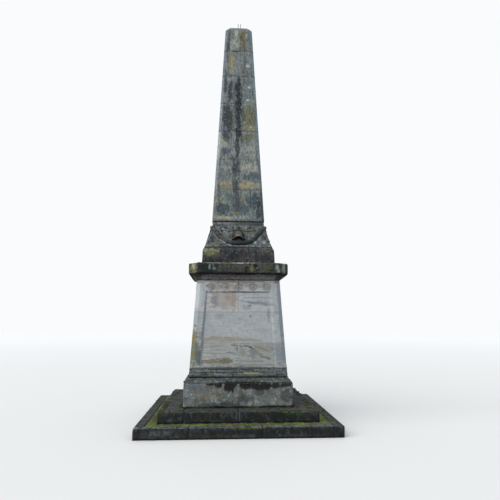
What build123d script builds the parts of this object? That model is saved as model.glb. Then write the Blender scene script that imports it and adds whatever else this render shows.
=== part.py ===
# Obelisk memorial in sandstone: stepped base, panelled die, cornice, festooned block and tapering shaft.
# Millimetres, +Z up. The origin is the middle of the base on the ground, the front faces -Y.
import os
from math import atan2, cos, degrees, sin, sqrt

from build123d import *

# Lower step: a kerb of long stones round a levelled fill
LOWER_HALF = 1430
LOWER_RISE = 152
KERB_WIDTH = 145
KERB_LEFT_JOINT_X = -690
KERB_RIGHT_JOINT_X = 310
KERB_ARRIS = 10
FILL_DROP = 8

# Upper step: broad stones round a hearting
UPPER_HALF = 1146
UPPER_RISE = 154
UPPER_WIDTH = 360
UPPER_LEFT_JOINT_X = -16
UPPER_RIGHT_JOINT_X = 592
UPPER_ARRIS = 8

# Plinth with a splayed top, in a front and a back block
PLINTH_RISE = 350
SPLAY_RISE = 77
SPLAY_WIDTH = 72

# Base course of the die: a plain band and a set-back band
BASE_HALF = 748
BASE_RISE = 76
BASE_SET_BACK = 6
BASE_BAND_RISE = 55
BASE_JOINT_X = -8

# Die: leaning faces, chamfered corners with run-out stops, a sunk panel and five roundels a side
DIE_LEAN = 85
DIE_RISE = 1343
DIE_CHAMFER = 60
DIE_STOP_RISE = 85
DIE_STOP_CHAMFER = 4
DIE_BOTTOM_RISE = 378
DIE_MIDDLE_RISE = 472
DIE_BOTTOM_JOINT_X = 18
DIE_TOP_JOINT_X = -8
PANEL_TOP_BELOW = 169
PANEL_MARGIN = 153
PANEL_DEPTH = 18
PANEL_BEVEL = 30
ROUNDEL_BELOW = 96
ROUNDEL_PITCH = 221
ROUNDEL_COUNT = 5
ROUNDEL_RADIUS = 58
ROUNDEL_RIM = 15
ROUNDEL_RIM_RISE = 8
ROUNDEL_BEVEL = 4
ROUNDEL_RELIEF = 13
ROUNDEL_FLOOR = 3
ROUNDEL_BOSS_RADIUS = 32

# Hollow bed moulding under the cornice, and the cornice slab
BED_RISE = 98
BED_REACH = 112
BED_FILLET = 12
CORNICE_OVERHANG = 20
CORNICE_RISE = 171
CORNICE_CHAMFER = 156
CORNICE_ARRIS = 8

# Socle of the shaft
SOCLE_HALF = 587
SOCLE_BATTER = 8
SOCLE_RISE = 225
SOCLE_SPLAY_RISE = 62
SOCLE_SPLAY_WIDTH = 30

# Carved block: four hollow splayed faces, each with a garland hung from corner studs
BLOCK_SPLAY_WIDTH = 125
BLOCK_SPLAY_RISE = 372
BLOCK_HOLLOW = 12
BLOCK_RISE = 437
STUD_RADIUS = 33
STUD_DEEP = 50
STUD_STANDS = 42
MIDDLE_STUD_STANDS = 28
STUD_BEVEL = 12
MIDDLE_STUD_RADIUS = 26
STUD_BELOW_TOP = 98
SEAM_TURN = 25
FESTOON_DROP = 270
FESTOON_SHOULDER_OUT = 0.81
FESTOON_SHOULDER_DROP = 0.36
FESTOON_BELLY_OUT = 0.5
FESTOON_BELLY_DROP = 0.88
FESTOON_END_RADIUS = 22
FESTOON_MIDDLE_RADIUS = 40
FESTOON_CUPS = 6
FESTOON_STANDS = 6
CUP_WAIST = 0.8
CUP_TUCK = 14
BAND_WIDTH = 34
BAND_STANDS = 4
TASSEL_RISE = 272
TASSEL_CORD_SHARE = 0.5
TASSEL_CORD_RADIUS = 17
TASSEL_RADIUS = 38
TASSEL_CORD_STANDS = 4
TASSEL_STANDS = 9
TASSEL_TIP_RADIUS = 16
TASSEL_TIP_RISE = 26
HOOD_BELOW_TOP = 140
HOOD_RISE = 120
HOOD_RADIUS = 88
HOOD_LIP_RISE = 44
HOOD_LIP_OUT = 22
MOUTH_HALF = 64
MOUTH_RISE = 42
MOUTH_BAND = 16
MOUTH_BAND_STANDS = 7
HOLLOW_RISE = 90
HOLLOW_HEAD_RADIUS = 30
RIBBON_WIDTH = 26
RIBBON_STANDS = 8
RIBBON_REACH = 270
RIBBON_SAG_OUT = 0.6
RIBBON_DROP = 52
RIBBON_TAIL = 66

# Shaft: seven courses, tapering, with chamfered corners and a low broken-off top
SHAFT_OVERHANG = 10
SHAFT_LEAN = 194
SHAFT_CHAMFER = 42
COURSE_1_RISE = 536
COURSE_2_RISE = 538
COURSE_3_RISE = 529
COURSE_4_RISE = 525
COURSE_5_RISE = 526
COURSE_6_RISE = 500
COURSE_7_RISE = 453
SHAFT_CAP_RISE = 63
SHAFT_CAP_LEAN = 50
DOWEL_RADIUS = 5
DOWEL_STANDS = 214
DOWEL_DEEP = 90
DOWEL_SPACING = 45
DOWEL_X = 18

# Joints
JOINT = 8
JOINT_DEEP = 2
BED_JOINT_DEEP = 20
BED_JOINT = 14
STONE_ARRIS = 2

# Half widths that follow from the ones above
PLINTH_HALF = BASE_HALF + SPLAY_WIDTH
DIE_HALF = BASE_HALF - BASE_SET_BACK
DIE_TOP_HALF = DIE_HALF - DIE_LEAN
CORNICE_HALF = DIE_TOP_HALF + BED_REACH + CORNICE_OVERHANG
SOCLE_TOP_HALF = SOCLE_HALF - SOCLE_BATTER
BLOCK_HALF = SOCLE_TOP_HALF - SOCLE_SPLAY_WIDTH
BLOCK_NECK_HALF = BLOCK_HALF - BLOCK_SPLAY_WIDTH
SHAFT_HALF = BLOCK_NECK_HALF + SHAFT_OVERHANG
SHAFT_TOP_HALF = SHAFT_HALF - SHAFT_LEAN
SHAFT_CAP_HALF = SHAFT_TOP_HALF - SHAFT_CAP_LEAN

# Places of what repeats; the hoods are on the front and the back
HOOD_QUARTERS = (0, 2)
KERB_JOINTS = (KERB_LEFT_JOINT_X, KERB_RIGHT_JOINT_X)
UPPER_JOINTS = (UPPER_LEFT_JOINT_X, UPPER_RIGHT_JOINT_X)
SHAFT_COURSES = (
    COURSE_1_RISE, COURSE_2_RISE, COURSE_3_RISE, COURSE_4_RISE, COURSE_5_RISE, COURSE_6_RISE, COURSE_7_RISE)

# Levels, each from the one below
Z_FILL = LOWER_RISE - FILL_DROP
Z_UPPER = Z_FILL + UPPER_RISE
Z_PLINTH = Z_UPPER + PLINTH_RISE
Z_SPLAY = Z_PLINTH + SPLAY_RISE
Z_BASE = Z_SPLAY + BASE_RISE
Z_DIE = Z_BASE + BASE_BAND_RISE
Z_DIE_TOP = Z_DIE + DIE_RISE
Z_BED = Z_DIE_TOP + BED_RISE
Z_CORNICE = Z_BED + CORNICE_RISE
Z_SOCLE = Z_CORNICE + SOCLE_RISE
Z_BLOCK = Z_SOCLE + SOCLE_SPLAY_RISE
Z_NECK = Z_BLOCK + BLOCK_SPLAY_RISE
Z_BLOCK_TOP = Z_BLOCK + BLOCK_RISE
Z_SHAFT = Z_BLOCK_TOP + BED_JOINT
FAR = 2 * LOWER_HALF

os.makedirs("parts", exist_ok=True)
made = []


def save(name, shapes):
    """Write one named piece; a piece of several stones keeps them as separate solids."""
    solids = []
    for shape in shapes:
        solids.extend(shape.solids())
    for solid in solids:
        assert solid.is_valid and solid.volume > 0, name
    export_step(Compound(children=solids), f"parts/{name}.step")
    made.append((name, len(solids), sum(solid.volume for solid in solids)))


def block(x0, x1, y0, y1, z0, z1):
    """Plain rectangular block between two corners."""
    return Pos(x0, y0, z0) * Box(x1 - x0, y1 - y0, z1 - z0, align=(Align.MIN, Align.MIN, Align.MIN))


def turned(shape, quarter):
    """The same shape turned by quarter turns about the column's axis."""
    return Rot(0, 0, 90 * quarter) * shape


def run(profile):
    """Upright profile, width against height, run through the column from front to back."""
    return extrude(Plane.XZ * profile, FAR, both=True)


def straight_profile(levels):
    """Straight-sided profile through (half width, height) levels."""
    right = [(half, z) for half, z in levels]
    left = [(-half, z) for half, z in reversed(levels)]
    return make_face(Polyline(*right, *left, close=True))


def mitred(side_profile, corner_profile=None):
    """What the runs across the four sides, and across the four corners, have in common."""
    body = run(side_profile) & Rot(0, 0, 90) * run(side_profile)
    if corner_profile:
        body &= Rot(0, 0, 45) * run(corner_profile)
        body &= Rot(0, 0, -45) * run(corner_profile)
    return body


def corner_reach(half, cut):
    """Distance from the axis to a face that cuts a corner off by the given length of side."""
    return (2 * half - cut) / sqrt(2)


def tapered(levels):
    """Straight-sided mass through (half width, corner chamfer, height) levels."""
    side = straight_profile([(half, z) for half, cut, z in levels])
    if not any(cut for half, cut, z in levels):
        return mitred(side)
    return mitred(side, straight_profile([(corner_reach(half, cut), z) for half, cut, z in levels]))


def between(low, high, low_z, high_z, z):
    """Value at a height on a straight line between two levels."""
    return low + (high - low) * (z - low_z) / (high_z - low_z)


def with_arris(half_at, cut, z0, z1, arris):
    """One course of a tapering mass, its bed edges softened by a small arris."""
    return tapered([
        (half_at(z0) - arris, cut, z0),
        (half_at(z0 + arris), cut, z0 + arris),
        (half_at(z1 - arris), cut, z1 - arris),
        (half_at(z1) - arris, cut, z1),
    ])


# Lower step. Each side runs from its left corner to the next side's stones, whose end shows beside it.
def kerb_side(quarter):
    ends = (-LOWER_HALF,) + KERB_JOINTS + (LOWER_HALF - KERB_WIDTH,)
    stones = []
    for left, right in zip(ends, ends[1:]):
        start = left if left == -LOWER_HALF else left + JOINT / 2
        stop = right - JOINT if right == ends[-1] else right - JOINT / 2
        stone = block(start, stop, -LOWER_HALF, -LOWER_HALF + KERB_WIDTH, 0, LOWER_RISE)
        front = stone.edges().filter_by(Axis.X).group_by(Axis.Z)[-1].sort_by(Axis.Y)[0]
        stones.append(turned(fillet(front, KERB_ARRIS), quarter))
    return stones


def kerb_mortar(quarter):
    strips = []
    for x in KERB_JOINTS:
        strips.append((x - JOINT / 2, x + JOINT / 2))
    corner = LOWER_HALF - KERB_WIDTH
    strips.append((corner - JOINT, corner))
    made_strips = []
    for x0, x1 in strips:
        strip = block(x0, x1, -LOWER_HALF + JOINT_DEEP, -LOWER_HALF + KERB_WIDTH, 0, LOWER_RISE - JOINT_DEEP)
        made_strips.append(turned(strip, quarter))
    return made_strips


SIDES = ("front", "right", "back", "left")
for quarter, side in enumerate(SIDES):
    save(f"kerb_{side}", kerb_side(quarter))
save("kerb_mortar", [strip for quarter in range(len(SIDES)) for strip in kerb_mortar(quarter)])

fill_half = LOWER_HALF - KERB_WIDTH
save("lower_step_fill", [block(-fill_half, fill_half, -fill_half, fill_half, 0, Z_FILL)])


# Upper step. Each side starts behind the end of the side on its left.
upper_inner = UPPER_HALF - UPPER_WIDTH


def upper_side(quarter):
    ends = (-upper_inner,) + UPPER_JOINTS + (UPPER_HALF,)
    stones = []
    for left, right in zip(ends, ends[1:]):
        start = left + JOINT if left == -upper_inner else left + JOINT / 2
        stop = right if right == UPPER_HALF else right - JOINT / 2
        stone = block(start, stop, -UPPER_HALF, -upper_inner, Z_FILL, Z_UPPER)
        front = stone.edges().filter_by(Axis.X).group_by(Axis.Z)[-1].sort_by(Axis.Y)[0]
        stones.append(turned(fillet(front, UPPER_ARRIS), quarter))
    return stones


def upper_mortar(quarter):
    strips = [(-upper_inner, -upper_inner + JOINT)]
    for x in UPPER_JOINTS:
        strips.append((x - JOINT / 2, x + JOINT / 2))
    made_strips = []
    for x0, x1 in strips:
        strip = block(x0, x1, -UPPER_HALF + JOINT_DEEP, -upper_inner, Z_FILL, Z_UPPER - JOINT_DEEP)
        made_strips.append(turned(strip, quarter))
    return made_strips


for quarter, side in enumerate(SIDES):
    save(f"upper_step_{side}", upper_side(quarter))
save("upper_step_mortar", [strip for quarter in range(len(SIDES)) for strip in upper_mortar(quarter)])
save("upper_step_hearting", [block(-upper_inner, upper_inner, -upper_inner, upper_inner, Z_FILL, Z_UPPER)])

# Plinth, front and back blocks with a mortar joint between
plinth_body = tapered([
    (PLINTH_HALF, 0, Z_UPPER),
    (PLINTH_HALF, 0, Z_PLINTH),
    (BASE_HALF, 0, Z_SPLAY),
])
save("plinth_front", [plinth_body & block(-FAR, FAR, -FAR, -JOINT / 2, Z_UPPER, Z_SPLAY)])
save("plinth_back", [plinth_body & block(-FAR, FAR, JOINT / 2, FAR, Z_UPPER, Z_SPLAY)])

# Base course, left and right stones
base_body = tapered([(BASE_HALF, 0, Z_SPLAY), (BASE_HALF, 0, Z_BASE)])
base_body += tapered([(BASE_HALF - BASE_SET_BACK, 0, Z_BASE), (DIE_HALF, 0, Z_DIE)])
base_left = base_body & block(-FAR, BASE_JOINT_X - JOINT / 2, -FAR, FAR, Z_SPLAY, Z_DIE)
base_right = base_body & block(BASE_JOINT_X + JOINT / 2, FAR, -FAR, FAR, Z_SPLAY, Z_DIE)
save("base_course_left", [base_left])
save("base_course_right", [base_right])

# Die
die_lean = degrees(atan2(DIE_HALF - DIE_TOP_HALF, DIE_RISE))
die_slope = DIE_RISE / cos(atan2(DIE_HALF - DIE_TOP_HALF, DIE_RISE))


def die_half(z):
    return between(DIE_HALF, DIE_TOP_HALF, Z_DIE, Z_DIE_TOP, z)


def face_plane(half, z, lean_degrees, out):
    """Plane on the front face: X across, Y up the slope, Z outwards."""
    lean = Plane(origin=(0, -half, z), x_dir=(1, 0, 0), z_dir=(0, -cos_deg(lean_degrees), sin_deg(lean_degrees)))
    return lean.offset(out)


def cos_deg(angle):
    return cos(angle * PI_BY_180)


def sin_deg(angle):
    return sin(angle * PI_BY_180)


PI_BY_180 = atan2(0, -1) / 180


def die_cutter(depth_extra):
    """The panel cut from the front face: a field down to the base course, its edges bevelled outwards."""
    top = die_slope - PANEL_TOP_BELOW - PANEL_BEVEL
    foot_half = DIE_HALF - PANEL_MARGIN - PANEL_BEVEL
    head_half = between(DIE_HALF, DIE_TOP_HALF, 0, die_slope, top) - PANEL_MARGIN - PANEL_BEVEL
    field = make_face(Polyline((-foot_half, 0), (foot_half, 0), (head_half, top), (-head_half, top), close=True))
    field_plane = face_plane(DIE_HALF, Z_DIE, die_lean, -PANEL_DEPTH - depth_extra)
    flare = degrees(atan2(PANEL_BEVEL, PANEL_DEPTH))
    return extrude(field_plane * field, 2 * PANEL_DEPTH, taper=-flare)


def cap(radius, base, stands):
    """Arc of a round head, from its rim in to its top on the axis."""
    ball = (radius * radius + stands * stands) / (2 * stands)
    half_angle = atan2(radius, ball - stands) / 2
    bow = (ball * sin(half_angle), base + stands - ball + ball * cos(half_angle))
    return ThreePointArc((radius, base), bow, (0, base + stands))


def roundel():
    """One roundel, a domed boss in a bevelled rim, standing on the face plane at its own origin."""
    inner = ROUNDEL_RADIUS - ROUNDEL_RIM
    rim_top = ROUNDEL_FLOOR + ROUNDEL_RIM_RISE
    outline = Polyline(
        (0, -ROUNDEL_RIM),
        (ROUNDEL_RADIUS, -ROUNDEL_RIM),
        (ROUNDEL_RADIUS, rim_top - ROUNDEL_BEVEL),
        (ROUNDEL_RADIUS - ROUNDEL_BEVEL, rim_top),
        (inner + ROUNDEL_BEVEL, rim_top),
        (inner, ROUNDEL_FLOOR),
        (ROUNDEL_BOSS_RADIUS, ROUNDEL_FLOOR),
    )
    dome = cap(ROUNDEL_BOSS_RADIUS, ROUNDEL_FLOOR, ROUNDEL_RELIEF)
    axis = Line((0, ROUNDEL_FLOOR + ROUNDEL_RELIEF), (0, -ROUNDEL_RIM))
    return revolve(Plane.XZ * make_face(outline + dome + axis), Axis.Z)


def die_body(shrink):
    """The whole die; shrink sets every face back, for the mortar seen in its joints."""
    stop = Z_DIE + DIE_STOP_RISE
    body = tapered([
        (DIE_HALF - shrink, DIE_STOP_CHAMFER, Z_DIE),
        (die_half(stop) - shrink, DIE_CHAMFER, stop),
        (DIE_TOP_HALF - shrink, DIE_CHAMFER, Z_DIE_TOP),
    ])
    cutter = die_cutter(shrink)
    for quarter in range(len(SIDES)):
        body -= turned(cutter, quarter)
    return body


die = die_body(0)
first = -ROUNDEL_PITCH * (ROUNDEL_COUNT - 1) / 2
roundel_plane = face_plane(DIE_HALF, Z_DIE, die_lean, 0)
for quarter in range(len(SIDES)):
    for number in range(ROUNDEL_COUNT):
        place = roundel_plane * Pos(first + number * ROUNDEL_PITCH, die_slope - ROUNDEL_BELOW, 0)
        die += turned(place * roundel(), quarter)

z_low = Z_DIE + DIE_BOTTOM_RISE
z_high = z_low + DIE_MIDDLE_RISE


def die_stone(x0, x1, y0, y1, z0, z1):
    return [die & block(x0, x1, y0, y1, z0, z1)]


half_joint = JOINT / 2
save("die_bottom_left", die_stone(-FAR, DIE_BOTTOM_JOINT_X - half_joint, -FAR, FAR, Z_DIE, z_low - half_joint))
save("die_bottom_right", die_stone(DIE_BOTTOM_JOINT_X + half_joint, FAR, -FAR, FAR, Z_DIE, z_low - half_joint))
save("die_middle_front", die_stone(-FAR, FAR, -FAR, -half_joint, z_low + half_joint, z_high - half_joint))
save("die_middle_back", die_stone(-FAR, FAR, half_joint, FAR, z_low + half_joint, z_high - half_joint))
save("die_top_left", die_stone(-FAR, DIE_TOP_JOINT_X - half_joint, -FAR, FAR, z_high + half_joint, Z_DIE_TOP))
save("die_top_right", die_stone(DIE_TOP_JOINT_X + half_joint, FAR, -FAR, FAR, z_high + half_joint, Z_DIE_TOP))

# Mortar between the stones of the plinth, base course and die
set_back = die_body(JOINT_DEEP)
mortar = []
for z in (z_low, z_high):
    mortar.append(set_back & block(-FAR, FAR, -FAR, FAR, z - half_joint, z + half_joint))
mortar.append(set_back & block(
    DIE_BOTTOM_JOINT_X - half_joint, DIE_BOTTOM_JOINT_X + half_joint, -FAR, FAR, Z_DIE, z_low - half_joint))
mortar.append(set_back & block(-FAR, FAR, -half_joint, half_joint, z_low + half_joint, z_high - half_joint))
mortar.append(set_back & block(
    DIE_TOP_JOINT_X - half_joint, DIE_TOP_JOINT_X + half_joint, -FAR, FAR, z_high + half_joint, Z_DIE_TOP))
save("die_mortar", mortar)

plinth_back_set = tapered([
    (PLINTH_HALF - JOINT_DEEP, 0, Z_UPPER),
    (PLINTH_HALF - JOINT_DEEP, 0, Z_PLINTH - JOINT_DEEP),
    (BASE_HALF - JOINT_DEEP, 0, Z_SPLAY - JOINT_DEEP),
    (BASE_HALF - JOINT_DEEP, 0, Z_SPLAY),
])
base_reach = BASE_HALF - BASE_SET_BACK - JOINT_DEEP
save("plinth_mortar", [
    plinth_back_set & block(-FAR, FAR, -half_joint, half_joint, Z_UPPER, Z_SPLAY),
])
save("base_course_mortar", [
    block(BASE_JOINT_X - half_joint, BASE_JOINT_X + half_joint, -base_reach, base_reach, Z_SPLAY, Z_DIE),
])


def cavetto(inner_half, z0, z1, reach, fillet_rise):
    """Hollow profile from a half width at the bottom out to a small upright fillet on top."""
    rise = z1 - fillet_rise - z0
    start = (inner_half, z0)
    end = (inner_half + reach, z1 - fillet_rise)
    bow = (inner_half + reach * (1 - cos_deg(45)), z0 + rise * sin_deg(45))
    right = ThreePointArc(start, bow, end) + Line(end, (inner_half + reach, z1))
    left = mirror(right, Plane.YZ)
    top = Line((inner_half + reach, z1), (-inner_half - reach, z1))
    bottom = Line((inner_half, z0), (-inner_half, z0))
    return make_face(right + top + left + bottom)


corner_half = corner_reach(DIE_TOP_HALF, DIE_CHAMFER)
save("bed_moulding", [mitred(
    cavetto(DIE_TOP_HALF, Z_DIE_TOP, Z_BED, BED_REACH, BED_FILLET),
    cavetto(corner_half, Z_DIE_TOP, Z_BED, BED_REACH, BED_FILLET),
)])

save("cornice", [tapered([
    (CORNICE_HALF, CORNICE_CHAMFER, Z_BED),
    (CORNICE_HALF, CORNICE_CHAMFER, Z_CORNICE - CORNICE_ARRIS),
    (CORNICE_HALF - CORNICE_ARRIS, CORNICE_CHAMFER, Z_CORNICE),
])])

save("socle", [tapered([
    (SOCLE_HALF, 0, Z_CORNICE),
    (SOCLE_TOP_HALF, 0, Z_SOCLE),
    (BLOCK_HALF, 0, Z_BLOCK),
])])

# Carved block. Its splayed faces are one hollow arc from the foot up to the upright neck.
splay_length = sqrt(BLOCK_SPLAY_WIDTH * BLOCK_SPLAY_WIDTH + BLOCK_SPLAY_RISE * BLOCK_SPLAY_RISE)
splay_out = BLOCK_SPLAY_RISE / splay_length
splay_up = BLOCK_SPLAY_WIDTH / splay_length
splay_radius = (splay_length * splay_length / 4 + BLOCK_HOLLOW * BLOCK_HOLLOW) / (2 * BLOCK_HOLLOW)
bow_half = (BLOCK_HALF + BLOCK_NECK_HALF) / 2 - BLOCK_HOLLOW * splay_out
bow_z = (Z_BLOCK + Z_NECK) / 2 - BLOCK_HOLLOW * splay_up
hollow_side = ThreePointArc((BLOCK_HALF, Z_BLOCK), (bow_half, bow_z), (BLOCK_NECK_HALF, Z_NECK))
hollow_side += Line((BLOCK_NECK_HALF, Z_NECK), (BLOCK_NECK_HALF, Z_BLOCK_TOP))
neck_line = Line((BLOCK_NECK_HALF, Z_BLOCK_TOP), (-BLOCK_NECK_HALF, Z_BLOCK_TOP))
foot_line = Line((BLOCK_HALF, Z_BLOCK), (-BLOCK_HALF, Z_BLOCK))
carved = mitred(make_face(hollow_side + neck_line + mirror(hollow_side, Plane.YZ) + foot_line))


def block_half(z):
    """Half width of the block at a height, up the hollow splay and then the neck."""
    if z > Z_NECK:
        return BLOCK_NECK_HALF
    centre_half = bow_half + splay_radius * splay_out
    centre_z = bow_z + splay_radius * splay_up
    return centre_half - sqrt(splay_radius * splay_radius - (z - centre_z) * (z - centre_z))


def on_face(x, z, out):
    """Point that far out from the front splayed face at a given offset and height."""
    return Vector(x, -block_half(z) - out, z)


z_stud = Z_BLOCK_TOP - STUD_BELOW_TOP
stud_out = block_half(z_stud)
ribbon_foot = z_stud - RIBBON_DROP - RIBBON_TAIL
ribbon_lean = degrees(atan2(block_half(ribbon_foot) - stud_out, z_stud - ribbon_foot))
ribbon_plane = face_plane(stud_out, z_stud, ribbon_lean, 0)


def cup(path, start, stop):
    """One whorl of the garland: it flares along the path and its waist is tucked into the last one."""
    first_point = path @ start
    last_point = path @ stop
    along = (last_point - first_point).normalized()
    swell = FESTOON_MIDDLE_RADIUS - FESTOON_END_RADIUS
    waist = CUP_WAIST * (FESTOON_END_RADIUS + swell * start)
    brim = FESTOON_END_RADIUS + swell * stop
    length = (last_point - first_point).length + CUP_TUCK
    lift = (Align.CENTER, Align.CENTER, Align.MIN)
    return Plane(origin=first_point - along * CUP_TUCK, z_dir=along) * Cone(waist, brim, length, align=lift)


def festoon():
    """Whorls from each corner stud down to a band round the garland's lowest point."""
    low = z_stud - FESTOON_DROP
    shoulder = (FESTOON_SHOULDER_OUT * stud_out, z_stud - FESTOON_SHOULDER_DROP * FESTOON_DROP)
    belly = (FESTOON_BELLY_OUT * stud_out, z_stud - FESTOON_BELLY_DROP * FESTOON_DROP)
    path = Spline(
        on_face(-stud_out, z_stud, FESTOON_STANDS),
        on_face(-shoulder[0], shoulder[1], FESTOON_STANDS),
        on_face(-belly[0], belly[1], FESTOON_STANDS),
        on_face(0, low, FESTOON_STANDS),
        tangents=[(1, 0, -1), (1, 0, 0)],
    )
    whorls = []
    for number in range(FESTOON_CUPS):
        whorl = cup(path, number / FESTOON_CUPS, (number + 1) / FESTOON_CUPS)
        whorls.extend([whorl, mirror(whorl, Plane.YZ)])
    band = Plane(origin=on_face(0, low, FESTOON_STANDS), z_dir=(1, 0, 0)) * Cylinder(
        FESTOON_MIDDLE_RADIUS + BAND_STANDS, BAND_WIDTH)
    return whorls + [band]


def hood_level():
    """Heights of the hood's head, its rim and its lip."""
    z_head = Z_BLOCK_TOP - HOOD_BELOW_TOP
    return z_head, z_head - HOOD_RISE, z_head - HOOD_RISE - HOOD_LIP_RISE


def bell(extra):
    """Bell with a flared lip about its own axis; extra makes it that much wider."""
    z_head, z_rim, z_lip = hood_level()
    radius = HOOD_RADIUS + extra
    dome_bow = (radius * sin_deg(45), z_rim + HOOD_RISE * cos_deg(45))
    shell = ThreePointArc((0, z_head), dome_bow, (radius, z_rim))
    rest = Polyline((radius, z_rim), (radius + HOOD_LIP_OUT, z_lip), (0, z_lip), (0, z_head))
    return Pos(0, -block_half(z_rim), 0) * revolve(Plane.XZ * make_face(shell + rest), Axis.Z)


def arch(extra):
    """Round bar through the block from front to back whose upper part is the mouth's arch."""
    z_lip = hood_level()[2]
    radius = (MOUTH_HALF * MOUTH_HALF + MOUTH_RISE * MOUTH_RISE) / (2 * MOUTH_RISE)
    return Pos(0, 0, z_lip + MOUTH_RISE - radius) * Rot(90, 0, 0) * Cylinder(radius + extra, FAR)


def hood():
    """Hood with a raised band round the arched mouth in its front."""
    band = bell(MOUTH_BAND_STANDS) & arch(MOUTH_BAND)
    return bell(0) + band - arch(0)


def hollow():
    """Dark hollow behind the mouth, cut up into the hood and back into the block."""
    z_head, z_rim, z_lip = hood_level()
    lift = (Align.CENTER, Align.CENTER, Align.MIN)
    return Pos(0, -block_half(z_rim), z_lip) * Cone(MOUTH_HALF, HOLLOW_HEAD_RADIUS, HOLLOW_RISE, align=lift)


def ribbon():
    """Flat ribbon looped out from the middle stud, its tail falling beside the hood."""
    turn = (RIBBON_REACH, -RIBBON_DROP / 2)
    loop = ThreePointArc((0, 0), (RIBBON_REACH * RIBBON_SAG_OUT, -RIBBON_DROP), turn)
    tail = ThreePointArc(
        turn, (RIBBON_REACH + RIBBON_WIDTH, -RIBBON_DROP), (RIBBON_REACH, -RIBBON_DROP - RIBBON_TAIL))
    flat = trace(loop + tail, RIBBON_WIDTH)
    strip = extrude(ribbon_plane.offset(-RIBBON_STANDS) * flat, 2 * RIBBON_STANDS)
    return [strip, mirror(strip, Plane.YZ)]


def stud(radius, deep, stands):
    """Round knob with a bevelled, slightly domed head, its axis along Z and its head above the origin."""
    outline = Polyline((0, -deep), (radius, -deep), (radius, 0), (radius - STUD_BEVEL, stands - STUD_BEVEL))
    head = cap(radius - STUD_BEVEL, stands - STUD_BEVEL, STUD_BEVEL)
    axis = Line((0, stands), (0, -deep))
    return Rot(0, 0, SEAM_TURN) * revolve(Plane.XZ * make_face(outline + head + axis), Axis.Z)


def tassel():
    """Cord down the corner from the stud, with a long drop whose blunt tip stands out of both faces."""
    top_out = stud_out + TASSEL_CORD_STANDS - TASSEL_CORD_RADIUS
    top = Vector(-top_out, -top_out, z_stud)
    foot_z = z_stud - TASSEL_RISE
    foot_out = block_half(foot_z) + TASSEL_STANDS - TASSEL_RADIUS
    foot = Vector(-foot_out, -foot_out, foot_z)
    length = (foot - top).length
    outline = Polyline(
        (0, 0),
        (TASSEL_CORD_RADIUS, 0),
        (TASSEL_CORD_RADIUS, length * TASSEL_CORD_SHARE),
        (TASSEL_RADIUS, length - TASSEL_TIP_RISE),
        (TASSEL_TIP_RADIUS, length),
        (0, length),
        close=True,
    )
    return Plane(origin=top, z_dir=foot - top) * revolve(Plane.XZ * make_face(outline), Axis.Z)


corner_plane = Plane(origin=(-stud_out, -stud_out, z_stud), z_dir=(-1, -1, 0))
middle_plane = Plane(origin=on_face(0, z_stud, 0), z_dir=ribbon_plane.z_dir)
corner_stud = corner_plane * stud(STUD_RADIUS, STUD_DEEP, STUD_STANDS)
middle_stud = middle_plane * stud(MIDDLE_STUD_RADIUS, MIDDLE_STUD_RADIUS, MIDDLE_STUD_STANDS)
for shape in (corner_stud, tassel(), *festoon(), *ribbon(), middle_stud):
    for quarter in range(len(SIDES)):
        carved += turned(shape, quarter)
for quarter in HOOD_QUARTERS:
    carved += turned(hood(), quarter)
    carved -= turned(hollow(), quarter)
save("carved_block", [carved])


# Shaft
z_top_course = Z_SHAFT + sum(SHAFT_COURSES)


def shaft_half(z):
    return between(SHAFT_HALF, SHAFT_TOP_HALF, Z_SHAFT, z_top_course, z)


z = Z_SHAFT
beds = []
for number, rise in enumerate(SHAFT_COURSES, start=1):
    last = number == len(SHAFT_COURSES)
    z_next = z + rise
    if last:
        course = tapered([
            (shaft_half(z) - STONE_ARRIS, SHAFT_CHAMFER, z),
            (shaft_half(z + STONE_ARRIS), SHAFT_CHAMFER, z + STONE_ARRIS),
            (shaft_half(z_next), SHAFT_CHAMFER, z_next),
            (SHAFT_CAP_HALF, SHAFT_CHAMFER, z_next + SHAFT_CAP_RISE),
        ])
        z_summit = z_next + SHAFT_CAP_RISE
        for side in (-0.5, 0.5):
            x = DOWEL_X + side * DOWEL_SPACING
            course -= Pos(x, 0, z_summit) * Cylinder(
                DOWEL_RADIUS, DOWEL_DEEP, align=(Align.CENTER, Align.CENTER, Align.MAX))
    else:
        course = with_arris(shaft_half, SHAFT_CHAMFER, z, z_next - JOINT, STONE_ARRIS)
        reach = shaft_half(z_next) - JOINT_DEEP - STONE_ARRIS
        beds.append(tapered([
            (reach, SHAFT_CHAMFER, z_next - JOINT),
            (reach, SHAFT_CHAMFER, z_next),
        ]))
    save(f"shaft_course_{number}", [course])
    z = z_next
save("shaft_mortar", beds)

deep_reach = BLOCK_NECK_HALF - BED_JOINT_DEEP
save("shaft_bed", [tapered([
    (deep_reach, SHAFT_CHAMFER, Z_BLOCK_TOP),
    (deep_reach, SHAFT_CHAMFER, Z_SHAFT),
])])

dowels = []
for side in (-0.5, 0.5):
    x = DOWEL_X + side * DOWEL_SPACING
    dowels.append(Pos(x, 0, z_summit - DOWEL_DEEP) * Cylinder(
        DOWEL_RADIUS, DOWEL_DEEP + DOWEL_STANDS, align=(Align.CENTER, Align.CENTER, Align.MIN)))
save("finial_dowels", dowels)

total = 0
for name, count, volume in made:
    total += volume
    print(f"{name}: {count} solids, {volume / 1e9:.4f} m3")
print(f"{len(made)} pieces, {total / 1e9:.3f} m3, height {z_summit + DOWEL_STANDS:.0f} mm")
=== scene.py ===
# %% [markdown]
# # A weathered sandstone obelisk memorial
# The CAD model gives every stone its true size and place. This script dresses it the way a century
# outdoors has: it builds the stone's finishes from layers of colour, wears the arrises, and grows
# moss in the joints. Lengths are in metres, and in millimetres where a name ends in mm. Every
# stain's colour and place is set from comparing renders with the photograph.
# Some layers are painted light and shade: in hollows, under the cornice and on the chamfers.

# %% Load the imported model
from math import pi, radians
from random import Random

import bmesh
import bpy
from mathutils import Matrix, Vector, noise


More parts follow.
